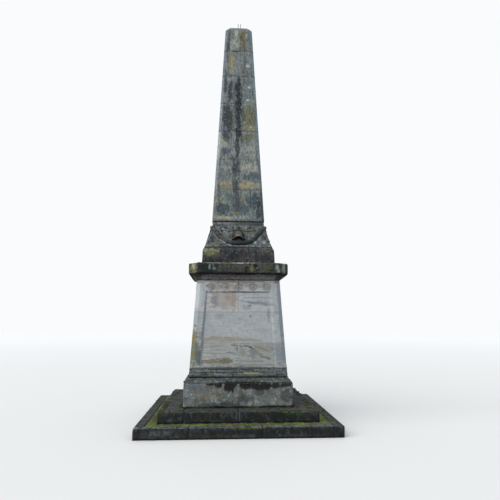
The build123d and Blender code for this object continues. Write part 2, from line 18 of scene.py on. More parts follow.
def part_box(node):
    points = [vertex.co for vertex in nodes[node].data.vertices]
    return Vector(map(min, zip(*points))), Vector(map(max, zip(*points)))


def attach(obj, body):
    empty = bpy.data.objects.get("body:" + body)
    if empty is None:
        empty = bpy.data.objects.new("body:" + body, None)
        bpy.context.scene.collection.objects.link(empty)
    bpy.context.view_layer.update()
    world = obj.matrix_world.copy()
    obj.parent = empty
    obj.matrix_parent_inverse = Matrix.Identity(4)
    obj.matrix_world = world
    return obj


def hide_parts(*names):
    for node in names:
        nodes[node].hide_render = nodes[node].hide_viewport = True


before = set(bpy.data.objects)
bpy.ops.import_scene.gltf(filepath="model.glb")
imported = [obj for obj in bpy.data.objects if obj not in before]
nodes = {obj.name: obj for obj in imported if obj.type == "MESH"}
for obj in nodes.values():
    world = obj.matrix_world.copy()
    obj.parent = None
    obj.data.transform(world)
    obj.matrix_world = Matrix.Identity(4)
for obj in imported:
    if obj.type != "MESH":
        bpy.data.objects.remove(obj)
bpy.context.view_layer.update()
SIDES = ("front", "right", "back", "left")


def foot_of(name):
    """Height of a node's foot above the ground."""
    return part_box(name)[0].z


def top_of(name):
    """Height of a node's top above the ground."""
    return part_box(name)[1].z


# %% [markdown]
# ## The camera
# The steps, the die and the shaft are square in plan, so their corners in the photograph fix where
# the camera stood: a little to the left, at eye height, looking slightly up and to the right. A
# lens of about 33 mm on a 36 mm sensor gives the same perspective.

# %% Camera
PHOTO_SIDE = 500
FOCAL_PIXELS = 460
SENSOR = 36
CAMERA_PLACE = (-0.2391, -7.9, 1.5567)
CAMERA_UP = 0.1546
CAMERA_RIGHT = 0.0578

camera_data = bpy.data.cameras.new("eye_level_camera")
camera_data.sensor_width = SENSOR
camera_data.lens = SENSOR * FOCAL_PIXELS / PHOTO_SIDE
camera = bpy.data.objects.new("eye_level_camera", camera_data)
camera.location = CAMERA_PLACE
camera.rotation_euler = (pi / 2 + CAMERA_UP, 0, -CAMERA_RIGHT)
bpy.context.scene.collection.objects.link(camera)
bpy.context.scene.camera = camera
bpy.context.scene.view_settings.view_transform = "Standard"
print("lens", round(camera_data.lens, 2), "mm")

# %% [markdown]
# ## The helpers that every finish shares
# Colours are written as sRGB hex, as on a paint chart, and one function turns them to the linear
# values that a shader wants. One small function adds a node with its settings and its links. A
# finish could be one big graph, but layers are easier to follow and to correct: a base colour with
# coats laid over it, each coat where a mask says.

# %% Colour, node and coat
OBJECT = 3              # the Texture Coordinate output in metres on the piece itself
NORMAL = 1              # the Geometry output that says where a face looks
BELOW, ABOVE = 6, 7     # the Mix node's inputs for the lower and the upper colour
MIXED = 2               # and its output for their mix


def paint(hex_code):
    """sRGB hex to a linear colour with full alpha."""
    values = [int(hex_code[i:i + 2], 16) / 255 for i in (0, 2, 4)]
    linear = [v / 12.92 if v <= 0.04045 else ((v + 0.055) / 1.055) ** 2.4 for v in values]
    return (*linear, 1.0)


def node(tree, kind, settings=None, links=None, out=0):
    """Add a node, set its fields and inputs, link its inputs, and give back one of its outputs."""
    made = tree.nodes.new("ShaderNode" + kind)
    for key, value in (settings or {}).items():
        if isinstance(key, int) or key in made.inputs:
            made.inputs[key].default_value = value
        else:
            setattr(made, key, value)
    for key, socket in (links or {}).items():
        tree.links.new(socket, made.inputs[key])
    return made.outputs[out]


def coat(tree, below, hex_code, mask, strength=1.0):
    """A colour laid over what is below, where the mask says and as strongly as asked."""
    amount = node(tree, "Math", {"operation": "MULTIPLY", 1: strength}, {0: mask})
    settings = {"data_type": "RGBA", ABOVE: paint(hex_code)}
    links = {0: amount}
    if isinstance(below, str):
        settings[BELOW] = paint(below)
    else:
        links[BELOW] = below
    return node(tree, "Mix", settings, links, out=MIXED)


print("paint 808080 is", round(paint("808080")[0], 3), "linear")

# %% [markdown]
# ## Patches of a real size
# Everything on old sandstone is patchy, so each mask starts from noise whose patches have a real
# size in millimetres: blotches of soot are a hand wide, sand grains far below a millimetre and
# drawn coarser so that they show at all. Stretching the noise upright turns blotches into the
# streaks that rain leaves. A picture could do this too, but noise is solid, so it never repeats
# and runs on round every corner.

# %% Clouds, speckles and flecks
NOISE_LOW, NOISE_HIGH = 0.3, 0.7        # nearly all of the noise lies between these
FLECK_LOW, FLECK_HIGH = 0.54, 0.66      # a fleck covers only the noise's higher part


def cloud(tree, size_mm, stretch=(1, 1, 1), shift=0.0, detail=4.0, rough=0.6):
    """Raw noise from 0 to 1 whose patches are about size_mm across."""
    per_metre = 1000 / size_mm
    mapped = node(tree, "Mapping", {
        "Location": (shift, 0.7 * shift, 1.3 * shift),
        "Scale": tuple(per_metre / s for s in stretch),
    }, {"Vector": node(tree, "TexCoord", out=OBJECT)})
    return node(tree, "TexNoise", {"Scale": 1.0, "Detail": detail, "Roughness": rough},
                {"Vector": mapped})


def between(tree, value, low, high):
    """Mask that eases from 0 at low to 1 at high."""
    return node(tree, "MapRange",
                {"interpolation_type": "SMOOTHSTEP", "From Min": low, "From Max": high},
                {"Value": value})


def speckle(tree, size_mm, low, high, **kind):
    """Mask of ragged patches about size_mm across."""
    return between(tree, cloud(tree, size_mm, **kind), low, high)


def speckled(tree, colour, hex_code, size_mm, low, high, strength=1.0, **kind):
    """Lay ragged patches of one colour, each about size_mm across."""
    return coat(tree, colour, hex_code, speckle(tree, size_mm, low, high, **kind), strength)


def flecked(tree, colour, hex_codes, size_mm, strength, shift=0.0):
    """Scatter small patches of several colours, so that the stone is never one hue."""
    for number, hex_code in enumerate(hex_codes):
        colour = speckled(tree, colour, hex_code, size_mm, FLECK_LOW, FLECK_HIGH, strength,
                          shift=shift + 2.9 * number, detail=4, rough=0.7)
    return colour


def mottled(tree, colour, size_mm, darkest, lightest, stretch=(1, 1, 1), shift=0.0):
    """The same colour, its brightness uneven by patches about size_mm across."""
    patches = cloud(tree, size_mm, stretch=stretch, shift=shift, detail=3, rough=0.75)
    value = node(tree, "MapRange", {
        "From Min": NOISE_LOW, "From Max": NOISE_HIGH, "To Min": darkest, "To Max": lightest,
    }, {"Value": patches})
    return node(tree, "HueSaturation", {}, {"Value": value, "Color": colour})


print("patches ready")

# %% [markdown]
# ## Stains in their place
# The four sides are alike, so a stain is placed once on an unrolled face: across, counted from the
# middle of the side, and up. The same few sums find that place on all four sides, and the noise,
# which is solid, makes each side's edge of the stain different. A corner's stain would be cut in
# two by that, so it is placed in the round instead, and the back of the memorial is the front
# turned half round.

# %% Stains placed on the unrolled face and on the corners
FULL_WITHIN = 0.5       # share of its reach within which a stain has its full strength
GONE_BY = 1.5           # reaches past its middle at which nothing of a stain is left


def sums(tree, how, first, second=0.0, third=0.0):
    """One step of arithmetic between sockets and numbers."""
    terms = {0: first, 1: second, 2: third}
    plain = {key: term for key, term in terms.items() if isinstance(term, float)}
    linked = {key: term for key, term in terms.items() if not isinstance(term, float)}
    return node(tree, "Math", {"operation": how, **plain}, linked)


def apart(tree):
    """X, Y and Z of the place on the piece."""
    return node(tree, "SeparateXYZ", {}, {0: node(tree, "TexCoord", out=OBJECT)}).node.outputs


def unrolled(tree):
    """Place on whichever side is nearest: X across it, seen from outside, and Z up."""
    x, y, z = apart(tree)
    on_front = sums(tree, "GREATER_THAN", sums(tree, "ABSOLUTE", y), sums(tree, "ABSOLUTE", x))
    along_side = sums(tree, "MULTIPLY", y, sums(tree, "SIGN", x))
    along_front = sums(tree, "MULTIPLY", sums(tree, "MULTIPLY", x, sums(tree, "SIGN", y)), -1.0)
    across = node(tree, "Mix", {"data_type": "FLOAT"},
                  {0: on_front, 2: along_side, 3: along_front})
    return node(tree, "CombineXYZ", {}, {"X": across, "Z": z})


def half_turned(tree):
    """Place in the round, with the back half of the memorial turned onto its front half."""
    x, y, z = apart(tree)
    across = sums(tree, "MULTIPLY", sums(tree, "MULTIPLY", x, sums(tree, "SIGN", y)), -1.0)
    return node(tree, "CombineXYZ", {}, {"X": across, "Y": sums(tree, "ABSOLUTE", y), "Z": z})


def stain(tree, place, centre, reach, ragged, tilt=0.0, torn=2.6):
    """Mask of one torn stain: 1 in its middle, 0 past its reach, its right end up by tilt."""
    away = node(tree, "VectorMath", {"operation": "SUBTRACT", 1: centre}, {0: place})
    if tilt:
        away = node(tree, "VectorRotate", {"rotation_type": "Y_AXIS", "Angle": radians(tilt)},
                    {"Vector": away})
    scaled = node(tree, "VectorMath", {"operation": "DIVIDE", 1: reach}, {0: away})
    far = node(tree, "VectorMath", {"operation": "LENGTH"}, {0: scaled}, out=1)
    edge = node(tree, "Math", {"operation": "MULTIPLY_ADD", 1: torn}, {0: ragged, 2: far})
    return between(tree, edge, 1 + torn / 2, FULL_WITHIN + torn / 2)


def stained(tree, colour, stains, ragged, low, high, torn=2.6, rim=None):
    """Lay every stain of a table whose height falls on this piece, those at its top on the rim.

    A row holds the colour, the centre and the reach (across, up), the strength and, where it
    isn't level, the tilt in degrees.
    """
    face = unrolled(tree)
    for hex_code, (across, up), (wide, tall), strength, *tilt in stains:
        if low - GONE_BY * tall < up < high + GONE_BY * tall:
            turned = tilt[0] if tilt else 0.0
            mask = stain(tree, face, (across, 0, up), (wide, 1, tall), ragged, turned, torn)
            if rim and up + tall > high:
                mask = sums(tree, "MULTIPLY", mask, rim)
            colour = coat(tree, colour, hex_code, mask, strength)
    return colour


def corner_stained(tree, colour, stains, ragged):
    """Lay stains that wrap a corner, -1 for the left one and 1 for the right one."""
    place = half_turned(tree)
    for side, hex_code, out, up, wide, tall, strength in stains:
        mask = stain(tree, place, (side * out, out, up), (wide, wide, tall), ragged)
        colour = coat(tree, colour, hex_code, mask, strength)
    return colour


print("stains fade from", FULL_WITHIN, "of their reach outwards")

# %% [markdown]
# ## Where rain runs, where it can't reach, where shade falls and where moss settles
# Grime runs down from ledges and splashes up from treads, and moss lies on what looks up. Corners
# that the rain doesn't wash get dirt and painted shade together, ragged bands along an edge carry
# painted shade as well as grime, and the chamfers get painted light by the way they face. All of
# these follow from the stone's own shape, so they are masks of height, of hidden sky and of where a
# face looks. Painting each by hand would miss some corner of the carving.

# %% Drips, rims, crevices and faces
DRIP_EDGE = 0.16            # how softly a tongue ends, of grime and of painted shade alike
LEDGE = 0.004               # grime and painted shade start this far over their ledge, to cover the arris
RIM = (0.034, 0.018)        # a rim begins and is whole this far inside the outermost face
SKY = (0.86, 0.42)          # share of open sky where the painted shade and dirt begin and where they are thick
LOOKING_UP = (0.35, 0.8)    # upward part of a normal where dust begins and where it is whole
CHAMFERED = (0.15, 0.4)     # product of a normal's level parts, 0 on a face, 0.5 on a chamfer


def grime_and_shade_tongues(tree, top, length, width_mm=70, bare=1.1, shift=0.0):
    """Mask of tongues along a ledge, for run-down and splashed grime and for painted shade; a length
    below 0 reaches up.
    """
    height = apart(tree)[2]
    near = node(tree, "MapRange", {"From Min": top - length, "From Max": top}, {"Value": height})
    tongues = cloud(tree, width_mm, stretch=(1, 1, 5), shift=shift, detail=5)
    reached = between(tree, sums(tree, "ADD", near, tongues), bare, bare + DRIP_EDGE)
    past_ledge = LEDGE if length > 0 else -LEDGE
    return sums(tree, "MULTIPLY", reached, between(tree, height, top + past_ledge, top))


def outward(tree):
    """How far out a place is, counted square to its side."""
    x, y, z = apart(tree)
    return sums(tree, "MAXIMUM", sums(tree, "ABSOLUTE", x), sums(tree, "ABSOLUTE", y))


def rim_of(tree, piece):
    """Mask of the faces and arrises of a piece that shows at the front, not of its flat top."""
    front = -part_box(piece)[0].y
    return between(tree, outward(tree), front - RIM[0], front - RIM[1])


def crevice_shade_and_dirt(tree, reach_mm):
    """Mask of painted shade and dirt in the corners that rain doesn't reach, found by how much of
    the sky is hidden.
    """
    seen = node(tree, "AmbientOcclusion", {"samples": 12, "Distance": reach_mm / 1000}, out=1)
    return between(tree, seen, *SKY)


def upward(tree):
    """Mask of the faces that look up, where moss and dust settle."""
    normal = node(tree, "NewGeometry", out=NORMAL)
    return between(tree, node(tree, "SeparateXYZ", {}, {0: normal}, out=2), *LOOKING_UP)


# The chamfer masks carry painted light: left and right chamfers get tones for how light falls on
# them.
def cornerwise(tree, side):
    """Mask of the chamfers to the left (-1) or the right (1) of each side's middle."""
    normal = node(tree, "NewGeometry", out=NORMAL)
    x, y, z = node(tree, "SeparateXYZ", {}, {0: normal}).node.outputs
    turned = sums(tree, "MULTIPLY", sums(tree, "MULTIPLY", x, y), float(-side))
    return between(tree, turned, *CHAMFERED)


print("shelter and splash masks ready")

# %% [markdown]
# ## Sandstone
# Sawn and rubbed sandstone is matt: a quartz grit with an index of refraction of about 1.46 and
# hardly any shine. This function makes what every block shares, from broad changes of tone down to
# grit that only the bump shows, and gives back the colour so that each finish can lay its own
# stains over it. The grit is really finer than 1 mm. It is drawn at 7 mm, the finest that shows
# from where the camera stands.

# %% Raw sandstone
QUARTZ_IOR = 1.46
BEDS_MM, BLOTCH_MM, FLECK_MM = 420, 130, 36     # changes of tone, from broad to small
LUMPS_MM, GRIT_MM = 60, 7                       # relief, coarse and fine
GRIT_SHARE = 0.16                               # height of the grit beside that of the lumps
RELIEF = 0.012


def plain_material(name, rough):
    """New material with a roughness: the material, its tree and its shader."""
    material = bpy.data.materials.new(name)
    material.use_nodes = True
    shader = material.node_tree.nodes["Principled BSDF"]
    shader.inputs["Roughness"].default_value = rough
    return material, material.node_tree, shader


def sandstone(name, main, pale, warm, shift=0.0, rough=0.9):
    """Material, tree and colour of plain sandstone in three tones."""
    material, tree, shader = plain_material(name, rough)
    shader.inputs["IOR"].default_value = QUARTZ_IOR
    colour = speckled(tree, main, pale, BEDS_MM, 0.4, 0.62, shift=shift)
    colour = speckled(tree, colour, warm, BLOTCH_MM, 0.48, 0.7, 0.8, shift=shift + 3, detail=6)
    colour = speckled(tree, colour, pale, FLECK_MM, 0.54, 0.7, 0.45, shift=shift + 7, detail=5)
    lumps = cloud(tree, LUMPS_MM, shift=shift + 5, detail=6, rough=0.62)
    grit = cloud(tree, GRIT_MM, shift=shift, detail=3, rough=0.7)
    relief = node(tree, "Math", {"operation": "MULTIPLY_ADD", 1: GRIT_SHARE}, {0: grit, 2: lumps})
    bump = node(tree, "Bump", {"Strength": 0.8, "Distance": RELIEF}, {"Height": relief})
    tree.links.new(bump, shader.inputs["Normal"])
    return material, tree, colour


def finish(material, tree, colour, *names):
    """Put the colour on the shader and the material on these pieces."""
    tree.links.new(colour, tree.nodes["Principled BSDF"].inputs["Base Color"])
    for name in names:
        nodes[name].data.materials.clear()
        nodes[name].data.materials.append(material)
    print(material.name, "on", len(names), "pieces,", len(tree.nodes), "nodes")


print("grit of", GRIT_MM, "mm on lumps of", LUMPS_MM, "mm")

# %% [markdown]
# ## The shaft
# Seven courses carry one weathering, because rain runs over them all: a blue-black streak down the
# middle of each side, dark patches at its left, an olive film of algae at its right, and pale bands
# lower down where the stone's bedding sheds its skin. Each course could have stains of its own, but
# placing these by height above the ground keeps them unbroken over the joints.

# %% Stains of the shaft
SHAFT_STAINS = (
    # colour, (across, up), (reach across, reach up), strength, tilt
    ("9A9B90", (0.19, 4.15), (0.22, 0.080), 0.80, 2),
    ("98927F", (0.18, 3.83), (0.24, 0.080), 0.80, -2),
    ("8A826C", (0.10, 3.78), (0.10, 0.050), 0.60),
    ("8B8570", (-0.21, 3.86), (0.17, 0.060), 0.75),
    ("867E68", (-0.24, 3.78), (0.15, 0.050), 0.65),
    ("8F938C", (-0.20, 4.14), (0.12, 0.060), 0.60),
    ("A2A8A4", (-0.26, 4.60), (0.11, 0.100), 0.55),
    ("8C9599", (-0.29, 5.04), (0.04, 0.300), 0.50),
    ("A0A9AD", (-0.24, 5.56), (0.03, 0.240), 0.45),
    ("9AA2A2", (-0.17, 6.64), (0.03, 0.200), 0.40),
    ("8E8B80", (-0.20, 4.56), (0.12, 0.050), 0.55),
    ("8F918B", (0.16, 4.50), (0.18, 0.060), 0.60),
    ("9E9684", (-0.24, 3.260), (0.18, 0.040), 0.80),
    ("9A9C94", (0.04, 3.27), (0.16, 0.045), 0.70),
    ("46545C", (0.24, 3.99), (0.22, 0.09), 0.80),
    ("5A676C", (-0.22, 4.00), (0.14, 0.09), 0.55),
    ("2E3B48", (-0.27, 3.42), (0.20, 0.11), 0.80),
    ("2D3B48", (0.26, 3.55), (0.20, 0.17), 0.80),
    ("252F40", (0.35, 3.44), (0.08, 0.20), 0.85),
    ("37444C", (0.12, 3.42), (0.12, 0.10), 0.60),
    ("39454C", (-0.12, 3.60), (0.10, 0.12), 0.50),
    ("3A4048", (-0.02, 3.56), (0.072, 0.30), 0.85),
    ("1F2836", (-0.245, 5.64), (0.050, 0.26), 0.88),
    ("242D3A", (-0.145, 5.60), (0.056, 0.30), 0.88),
    ("8B9492", (-0.255, 5.46), (0.018, 0.10), 0.70),
    ("5F5E4C", (-0.075, 5.55), (0.040, 0.26), 0.65),
    ("2A2D31", (-0.20, 5.08), (0.13, 0.34), 0.88),
    ("30303A", (-0.21, 4.74), (0.12, 0.14), 0.80),
    ("56564A", (-0.08, 5.02), (0.040, 0.30), 0.60),
    ("58666E", (-0.29, 5.26), (0.030, 0.12), 0.60),
    ("35434D", (-0.20, 4.44), (0.11, 0.08), 0.70),
    ("3C464C", (-0.11, 4.32), (0.08, 0.10), 0.55),
    ("18212E", (-0.008, 5.62), (0.064, 0.32), 0.97),
    ("161F2C", (-0.004, 5.22), (0.076, 0.42), 0.96),
    ("1C2531", (0.000, 4.84), (0.072, 0.28), 0.93),
    ("2A2F39", (-0.020, 4.52), (0.062, 0.30), 0.85),
    ("34363E", (-0.050, 4.14), (0.085, 0.26), 0.82),
    ("3A3C42", (-0.050, 3.84), (0.070, 0.20), 0.85),
    ("7C8288", (-0.02, 6.10), (0.055, 0.26), 0.55),
    ("8B8668", (-0.125, 6.14), (0.065, 0.24), 0.88),
    ("8A8050", (-0.115, 5.98), (0.035, 0.12), 0.65),
    ("56564A", (0.095, 5.95), (0.035, 0.34), 0.70),
    ("4A5152", (0.120, 6.16), (0.020, 0.16), 0.60),
    ("969C94", (-0.080, 6.55), (0.115, 0.18), 0.85),
    ("4E5450", (-0.020, 6.58), (0.022, 0.05), 0.60),
    ("5A605A", (-0.110, 6.63), (0.040, 0.03), 0.55),
    ("ABB0A9", (-0.045, 6.75), (0.038, 0.09), 0.88),
    ("625C40", (0.070, 6.68), (0.080, 0.15), 0.85),
    ("475052", (0.050, 6.66), (0.030, 0.05), 0.75),
    ("765B2C", (0.105, 6.73), (0.020, 0.07), 0.85),
    ("6C5A34", (0.012, 6.73), (0.012, 0.07), 0.75),
    ("6A6044", (0.090, 6.50), (0.045, 0.15), 0.80),
    ("97A4A8", (0.135, 6.68), (0.018, 0.06), 0.70),
    ("5C666C", (0.185, 6.62), (0.035, 0.24), 0.55),
    ("2C3434", (-0.185, 6.60), (0.036, 0.30), 0.80),
    ("3A4040", (-0.130, 6.70), (0.050, 0.06), 0.55),
    ("131719", (-0.045, 6.362), (0.060, 0.014), 0.92),
    ("2C3032", (0.020, 6.372), (0.040, 0.010), 0.50),
    ("7F9096", (0.21, 6.20), (0.050, 0.10), 0.60),
    ("78898C", (0.19, 5.60), (0.055, 0.16), 0.60),
    ("55603C", (0.20, 5.50), (0.030, 0.12), 0.55),
    ("7D8B85", (0.23, 5.40), (0.040, 0.06), 0.50),
)
OLIVE_STONE = {
    4: (("65664C", (0.19, 5.09), (0.17, 0.36), 0.85), ("7C7B62", (0.20, 4.88), (0.17, 0.08), 0.70)),
    3: (("66664C", (0.18, 4.72), (0.15, 0.09), 0.80), ("5C5F50", (0.12, 4.66), (0.10, 0.08), 0.50)),
}
LICHEN_SPOTS = (
    # colour, (across, up), reach
    ("857436", (0.06, 3.57), 0.045), ("6F6A3C", (-0.29, 3.55), 0.034),
    ("7B7440", (-0.01, 3.35), 0.036), ("8A7434", (0.11, 3.86), 0.050),
    ("857846", (-0.20, 3.88), 0.040), ("806F3A", (-0.15, 3.80), 0.030),
    ("A9B8B6", (0.16, 6.08), 0.036), ("AEBBB8", (0.16, 5.41), 0.030),
    ("9FA9A3", (0.18, 5.66), 0.030), ("A8AEA4", (0.10, 4.98), 0.022),
    ("98A29C", (0.21, 4.90), 0.022), ("8A8A3C", (-0.26, 4.60), 0.030),
    ("7E7A40", (-0.17, 3.52), 0.026), ("7A7A3C", (-0.27, 5.36), 0.024),
    ("A9B0A8", (-0.17, 5.80), 0.030),
)
print(len(SHAFT_STAINS), "stains and", len(LICHEN_SPOTS), "spots of lichen on each side")

# %% The courses of the shaft
SHAFT_TONES = (
    # main, pale, warm, the left chamfers and the right chamfers with their painted light, from the
    # lowest course up
    ("606D72", "747F7D", "717568", "76726A", "4A5660"),
    ("676F73", "7C8481", "77756A", "868C94", "707E8A"),
    ("737C7F", "88908C", "7F7F73", "A0A6B0", "8799A3"),
    ("626C73", "727D7F", "6F7065", "8A909A", "8094A0"),
    ("69737A", "7D8788", "707064", "7C828C", "93A7AE"),
    ("5F676A", "70787A", "6E6B58", "70767E", "8094A0"),
    ("646D70", "808888", "736F5B", "747B82", "8797A0"),
)
SHAFT_MORTAR_TONES = ("9AA09D", "A8ADA9", "8F8F82", "A0A6AA", "98A4A8")


def shaft_finish(number, tones):
    """One course of the shaft or, as number 0, the mortar between the courses."""
    main, pale, warm, left, right = tones
    material, tree, colour = sandstone(f"streaked_shaft_sandstone_{number}", main, pale, warm,
                                       shift=1.7 * number)
    ragged = cloud(tree, 48, stretch=(1, 1, 3.2), shift=2, detail=8, rough=0.78)
    piece = f"shaft_course_{number}" if number else "shaft_mortar"
    low, high = foot_of(piece), top_of(piece)
    colour = speckled(tree, colour, "2F383E", 40, 0.48, 0.66, 0.65,
                      stretch=(1, 1, 9), shift=4, detail=7)
    colour = speckled(tree, colour, "828B88", 30, 0.5, 0.64, 0.55,
                      stretch=(1, 1, 8), shift=5, detail=7)
    colour = flecked(tree, colour, ("3C4858", "73714E", "78707A"), 55, 0.4, shift=number)
    colour = stained(tree, colour, OLIVE_STONE.get(number, ()), ragged, low, high, torn=2.0)
    colour = stained(tree, colour, SHAFT_STAINS, ragged, low, high, torn=3.4)
    # Painted light: each course's left and right chamfers get their own tones for how the light
    # falls on them.
    colour = coat(tree, colour, left, cornerwise(tree, -1), 0.7)
    colour = coat(tree, colour, right, cornerwise(tree, 1), 0.75)
    colour = speckled(tree, colour, "2B3336", 24, 0.5, 0.62, 0.5,
                      stretch=(1, 1, 2.5), shift=9, detail=6)
    colour = speckled(tree, colour, "A0A79E", 22, 0.58, 0.68, 0.6,
                      stretch=(1, 1, 1.6), shift=12, detail=4)
    face = unrolled(tree)
    for hex_code, (across, up), reach in LICHEN_SPOTS:
        if low < up < high:
            dot = stain(tree, face, (across, 0, up), (reach, 1, reach), ragged, torn=2.2)
            colour = coat(tree, colour, hex_code, dot, 0.75)
    colour = coat(tree, colour, "545C5C", upward(tree), 0.6)
    colour = mottled(tree, colour, 30, 0.70, 1.28, stretch=(1, 1, 1.5), shift=number)
    return material, tree, colour, piece


for number, tones in enumerate(SHAFT_TONES, start=1):
    finish(*shaft_finish(number, tones))
finish(*shaft_finish(0, SHAFT_MORTAR_TONES))

# %% [markdown]
# ## The die
# The die is the finest stone and the best kept: pale, rubbed smooth, each block from another bed of
# the quarry. The cornice keeps most rain off it, so there are no streaks here, only the stone's own
# colour, a rusty band or two, a crack that has taken up soot, and yellow lichen on the corner that
# faces the weather. Light and shade are painted on it as well: shade along the sunk panel's left and
# top edges and in its hollows, pale light on the left chamfers and bluish sky light on the right
# ones. The crack could be cut in the mesh, but it is a hairline, and short tilted stains give its
# broken line.

# %% Stains of the die
DIE_STAINS = (
    # colour, (across, up), (reach across, reach up), strength, tilt
    ("A99E95", (-0.24, 1.90), (0.30, 0.20), 0.60),
    ("858B9C", (-0.38, 1.89), (0.07, 0.13), 0.70),
    ("9AA0AA", (-0.22, 1.82), (0.04, 0.06), 0.50),
    ("A8937F", (-0.070, 1.93), (0.055, 0.24), 0.60),
    # the next row is painted shade under the sunk panel's top edge, the one after it painted shadow
    # down its left edge
    ("6A5C50", (-0.010, 2.018), (0.540, 0.016), 0.75),
    ("544C46", (-0.543, 1.46), (0.021, 0.72), 0.80, -4.3),
    ("AA9688", (-0.17, 1.97), (0.06, 0.12), 0.55),
    ("9F8F84", (-0.36, 2.10), (0.16, 0.07), 0.65),
    ("A48C7A", (-0.14, 2.11), (0.12, 0.06), 0.60),
    ("8A99AA", (-0.055, 2.10), (0.018, 0.08), 0.70),
    ("948B82", (0.10, 2.13), (0.30, 0.05), 0.55),
    ("9A8A7C", (0.34, 2.11), (0.16, 0.05), 0.40),
    ("74675C", (0.00, 2.178), (0.58, 0.026), 0.60),
    ("77765A", (-0.63, 1.10), (0.045, 0.22), 0.40),
    ("808893", (0.28, 1.845), (0.26, 0.032), 0.80, -6),
    ("8B93A0", (0.14, 1.78), (0.10, 0.05), 0.60),
    ("888F99", (0.40, 1.840), (0.18, 0.050), 0.60, -6),
    ("8E959E", (0.30, 1.93), (0.26, 0.020), 0.60),
    ("9A9FA6", (0.20, 1.975), (0.24, 0.014), 0.50),
    ("7E8389", (0.47, 1.66), (0.035, 0.14), 0.55),
    ("74797D", (0.18, 1.80), (0.026, 0.030), 0.75),
    ("666B70", (0.185, 1.64), (0.020, 0.020), 0.85),
    ("8A8F98", (-0.30, 1.64), (0.10, 0.05), 0.45),
    ("878C94", (0.02, 1.60), (0.05, 0.03), 0.45),
    ("AB9F90", (-0.16, 1.285), (0.62, 0.055), 0.65),
    ("AC9A86", (-0.14, 1.290), (0.13, 0.035), 0.80, -4),
    ("A8957E", (-0.42, 1.300), (0.20, 0.022), 0.70),
    ("A2978A", (0.16, 1.275), (0.26, 0.030), 0.55),
    ("958A74", (-0.20, 1.318), (0.40, 0.008), 0.55, -3),
    ("857B62", (-0.42, 0.955), (0.28, 0.046), 0.90),
    ("6F6A4E", (-0.19, 0.972), (0.19, 0.046), 0.90),
    ("5F6054", (-0.24, 1.000), (0.22, 0.010), 0.75, 4),
    ("8D8A76", (-0.40, 1.180), (0.24, 0.020), 0.40),
    ("9A8F76", (0.07, 1.080), (0.045, 0.070), 0.75),
    ("A49A84", (0.36, 1.150), (0.20, 0.050), 0.60, -16),
    ("72705A", (0.40, 1.020), (0.14, 0.024), 0.85, -16),
    ("74746A", (0.26, 1.090), (0.13, 0.060), 0.65, -20),
    ("7A7C78", (0.20, 1.040), (0.12, 0.030), 0.55, -10),
    ("4E5254", (-0.060, 1.198), (0.060, 0.012), 0.80, -8),
    ("3F4345", (0.045, 1.182), (0.026, 0.016), 0.90, -20),
    ("484C4E", (0.115, 1.187), (0.044, 0.013), 0.90, -6),
    ("3A3E40", (0.190, 1.165), (0.056, 0.017), 0.95, -30),
    ("6E726E", (0.270, 1.172), (0.060, 0.011), 0.55, -14),
    ("686C68", (0.370, 1.148), (0.120, 0.012), 0.70, -22),
    ("747870", (0.460, 1.108), (0.060, 0.011), 0.60, -25),
    ("5D6162", (-0.02, 1.150), (0.016, 0.060), 0.80),
    ("6F7475", (-0.10, 1.075), (0.10, 0.010), 0.60, -12),
    ("767A79", (-0.40, 1.080), (0.26, 0.009), 0.65, -4),
    ("7A7E7E", (-0.34, 1.130), (0.22, 0.007), 0.55, 3),
    ("74777A", (0.02, 0.905), (0.70, 0.020), 0.45),
    ("565B5F", (-0.10, 0.872), (0.75, 0.018), 0.80),
    ("8F8E83", (0.18, 0.960), (0.22, 0.030), 0.35),
    ("838D99", (0.62, 1.10), (0.10, 0.16), 0.55),
    ("8E98A2", (0.60, 1.72), (0.06, 0.10), 0.40),
    ("9AA7AE", (-0.56, 1.95), (0.05, 0.25), 0.60),
    ("6F7264", (-0.60, 1.05), (0.055, 0.22), 0.75),
    ("7C7F70", (-0.57, 1.34), (0.045, 0.10), 0.60),
    ("3D4648", (-0.585, 1.02), (0.030, 0.18), 0.60),
    ("555E62", (-0.545, 1.20), (0.020, 0.12), 0.50),
    ("7F8D9C", (0.52, 1.14), (0.06, 0.030), 0.60, 30),
    ("757F84", (0.62, 0.93), (0.06, 0.03), 0.60),
    ("E4E8E6", (-0.022, 1.722), (0.018, 0.024), 0.95),
    ("C5C8C4", (-0.10, 1.500), (0.012, 0.012), 0.80),
)
ROUNDEL_STEP, ROUNDEL_HEIGHT, ROUNDEL_REACH = 0.221, 2.103, 0.074
DIE_STAINS += tuple(
    ("857A6E", (ROUNDEL_STEP * step, ROUNDEL_HEIGHT), (ROUNDEL_REACH, ROUNDEL_REACH), 0.42)
    for step in range(-2, 3))
DIE_CORNERS = (
    # side, colour, distance out, height, reach, reach up, strength
    # the next two rows are painted light: the left chamfer pale where the light from the left falls
    (-1, "D3DCE2", 0.650, 2.00, 0.11, 0.34, 0.80),
    (-1, "A9B4BA", 0.670, 1.62, 0.11, 0.18, 0.60),
    (-1, "525C60", 0.700, 1.12, 0.14, 0.36, 0.75),
    (-1, "7A7430", 0.690, 1.50, 0.05, 0.05, 0.85),
    (-1, "877818", 0.700, 1.32, 0.08, 0.08, 1.00),
    (-1, "857A22", 0.705, 1.20, 0.06, 0.05, 0.95),
    (-1, "7C7424", 0.712, 1.08, 0.08, 0.05, 0.95),
    (-1, "78702A", 0.722, 0.95, 0.08, 0.05, 0.90),
    # painted bluish sky light on the right chamfer
    (1, "98A2AA", 0.665, 1.95, 0.10, 0.25, 0.60),
    (-1, "8A7A6A", 0.640, 2.180, 0.12, 0.034, 0.65),
    (1, "74685C", 0.640, 2.180, 0.12, 0.034, 0.75),
    # the next two rows are painted bluish sky light on the right chamfer as well
    (1, "8A96A4", 0.690, 1.55, 0.10, 0.30, 0.65),
    (1, "8696A8", 0.705, 1.05, 0.12, 0.14, 0.75),
    (1, "8B7F6E", 0.690, 1.35, 0.06, 0.05, 0.75),
)
print(len(DIE_STAINS), "stains on each side of the die,", len(DIE_CORNERS), "on its corners")

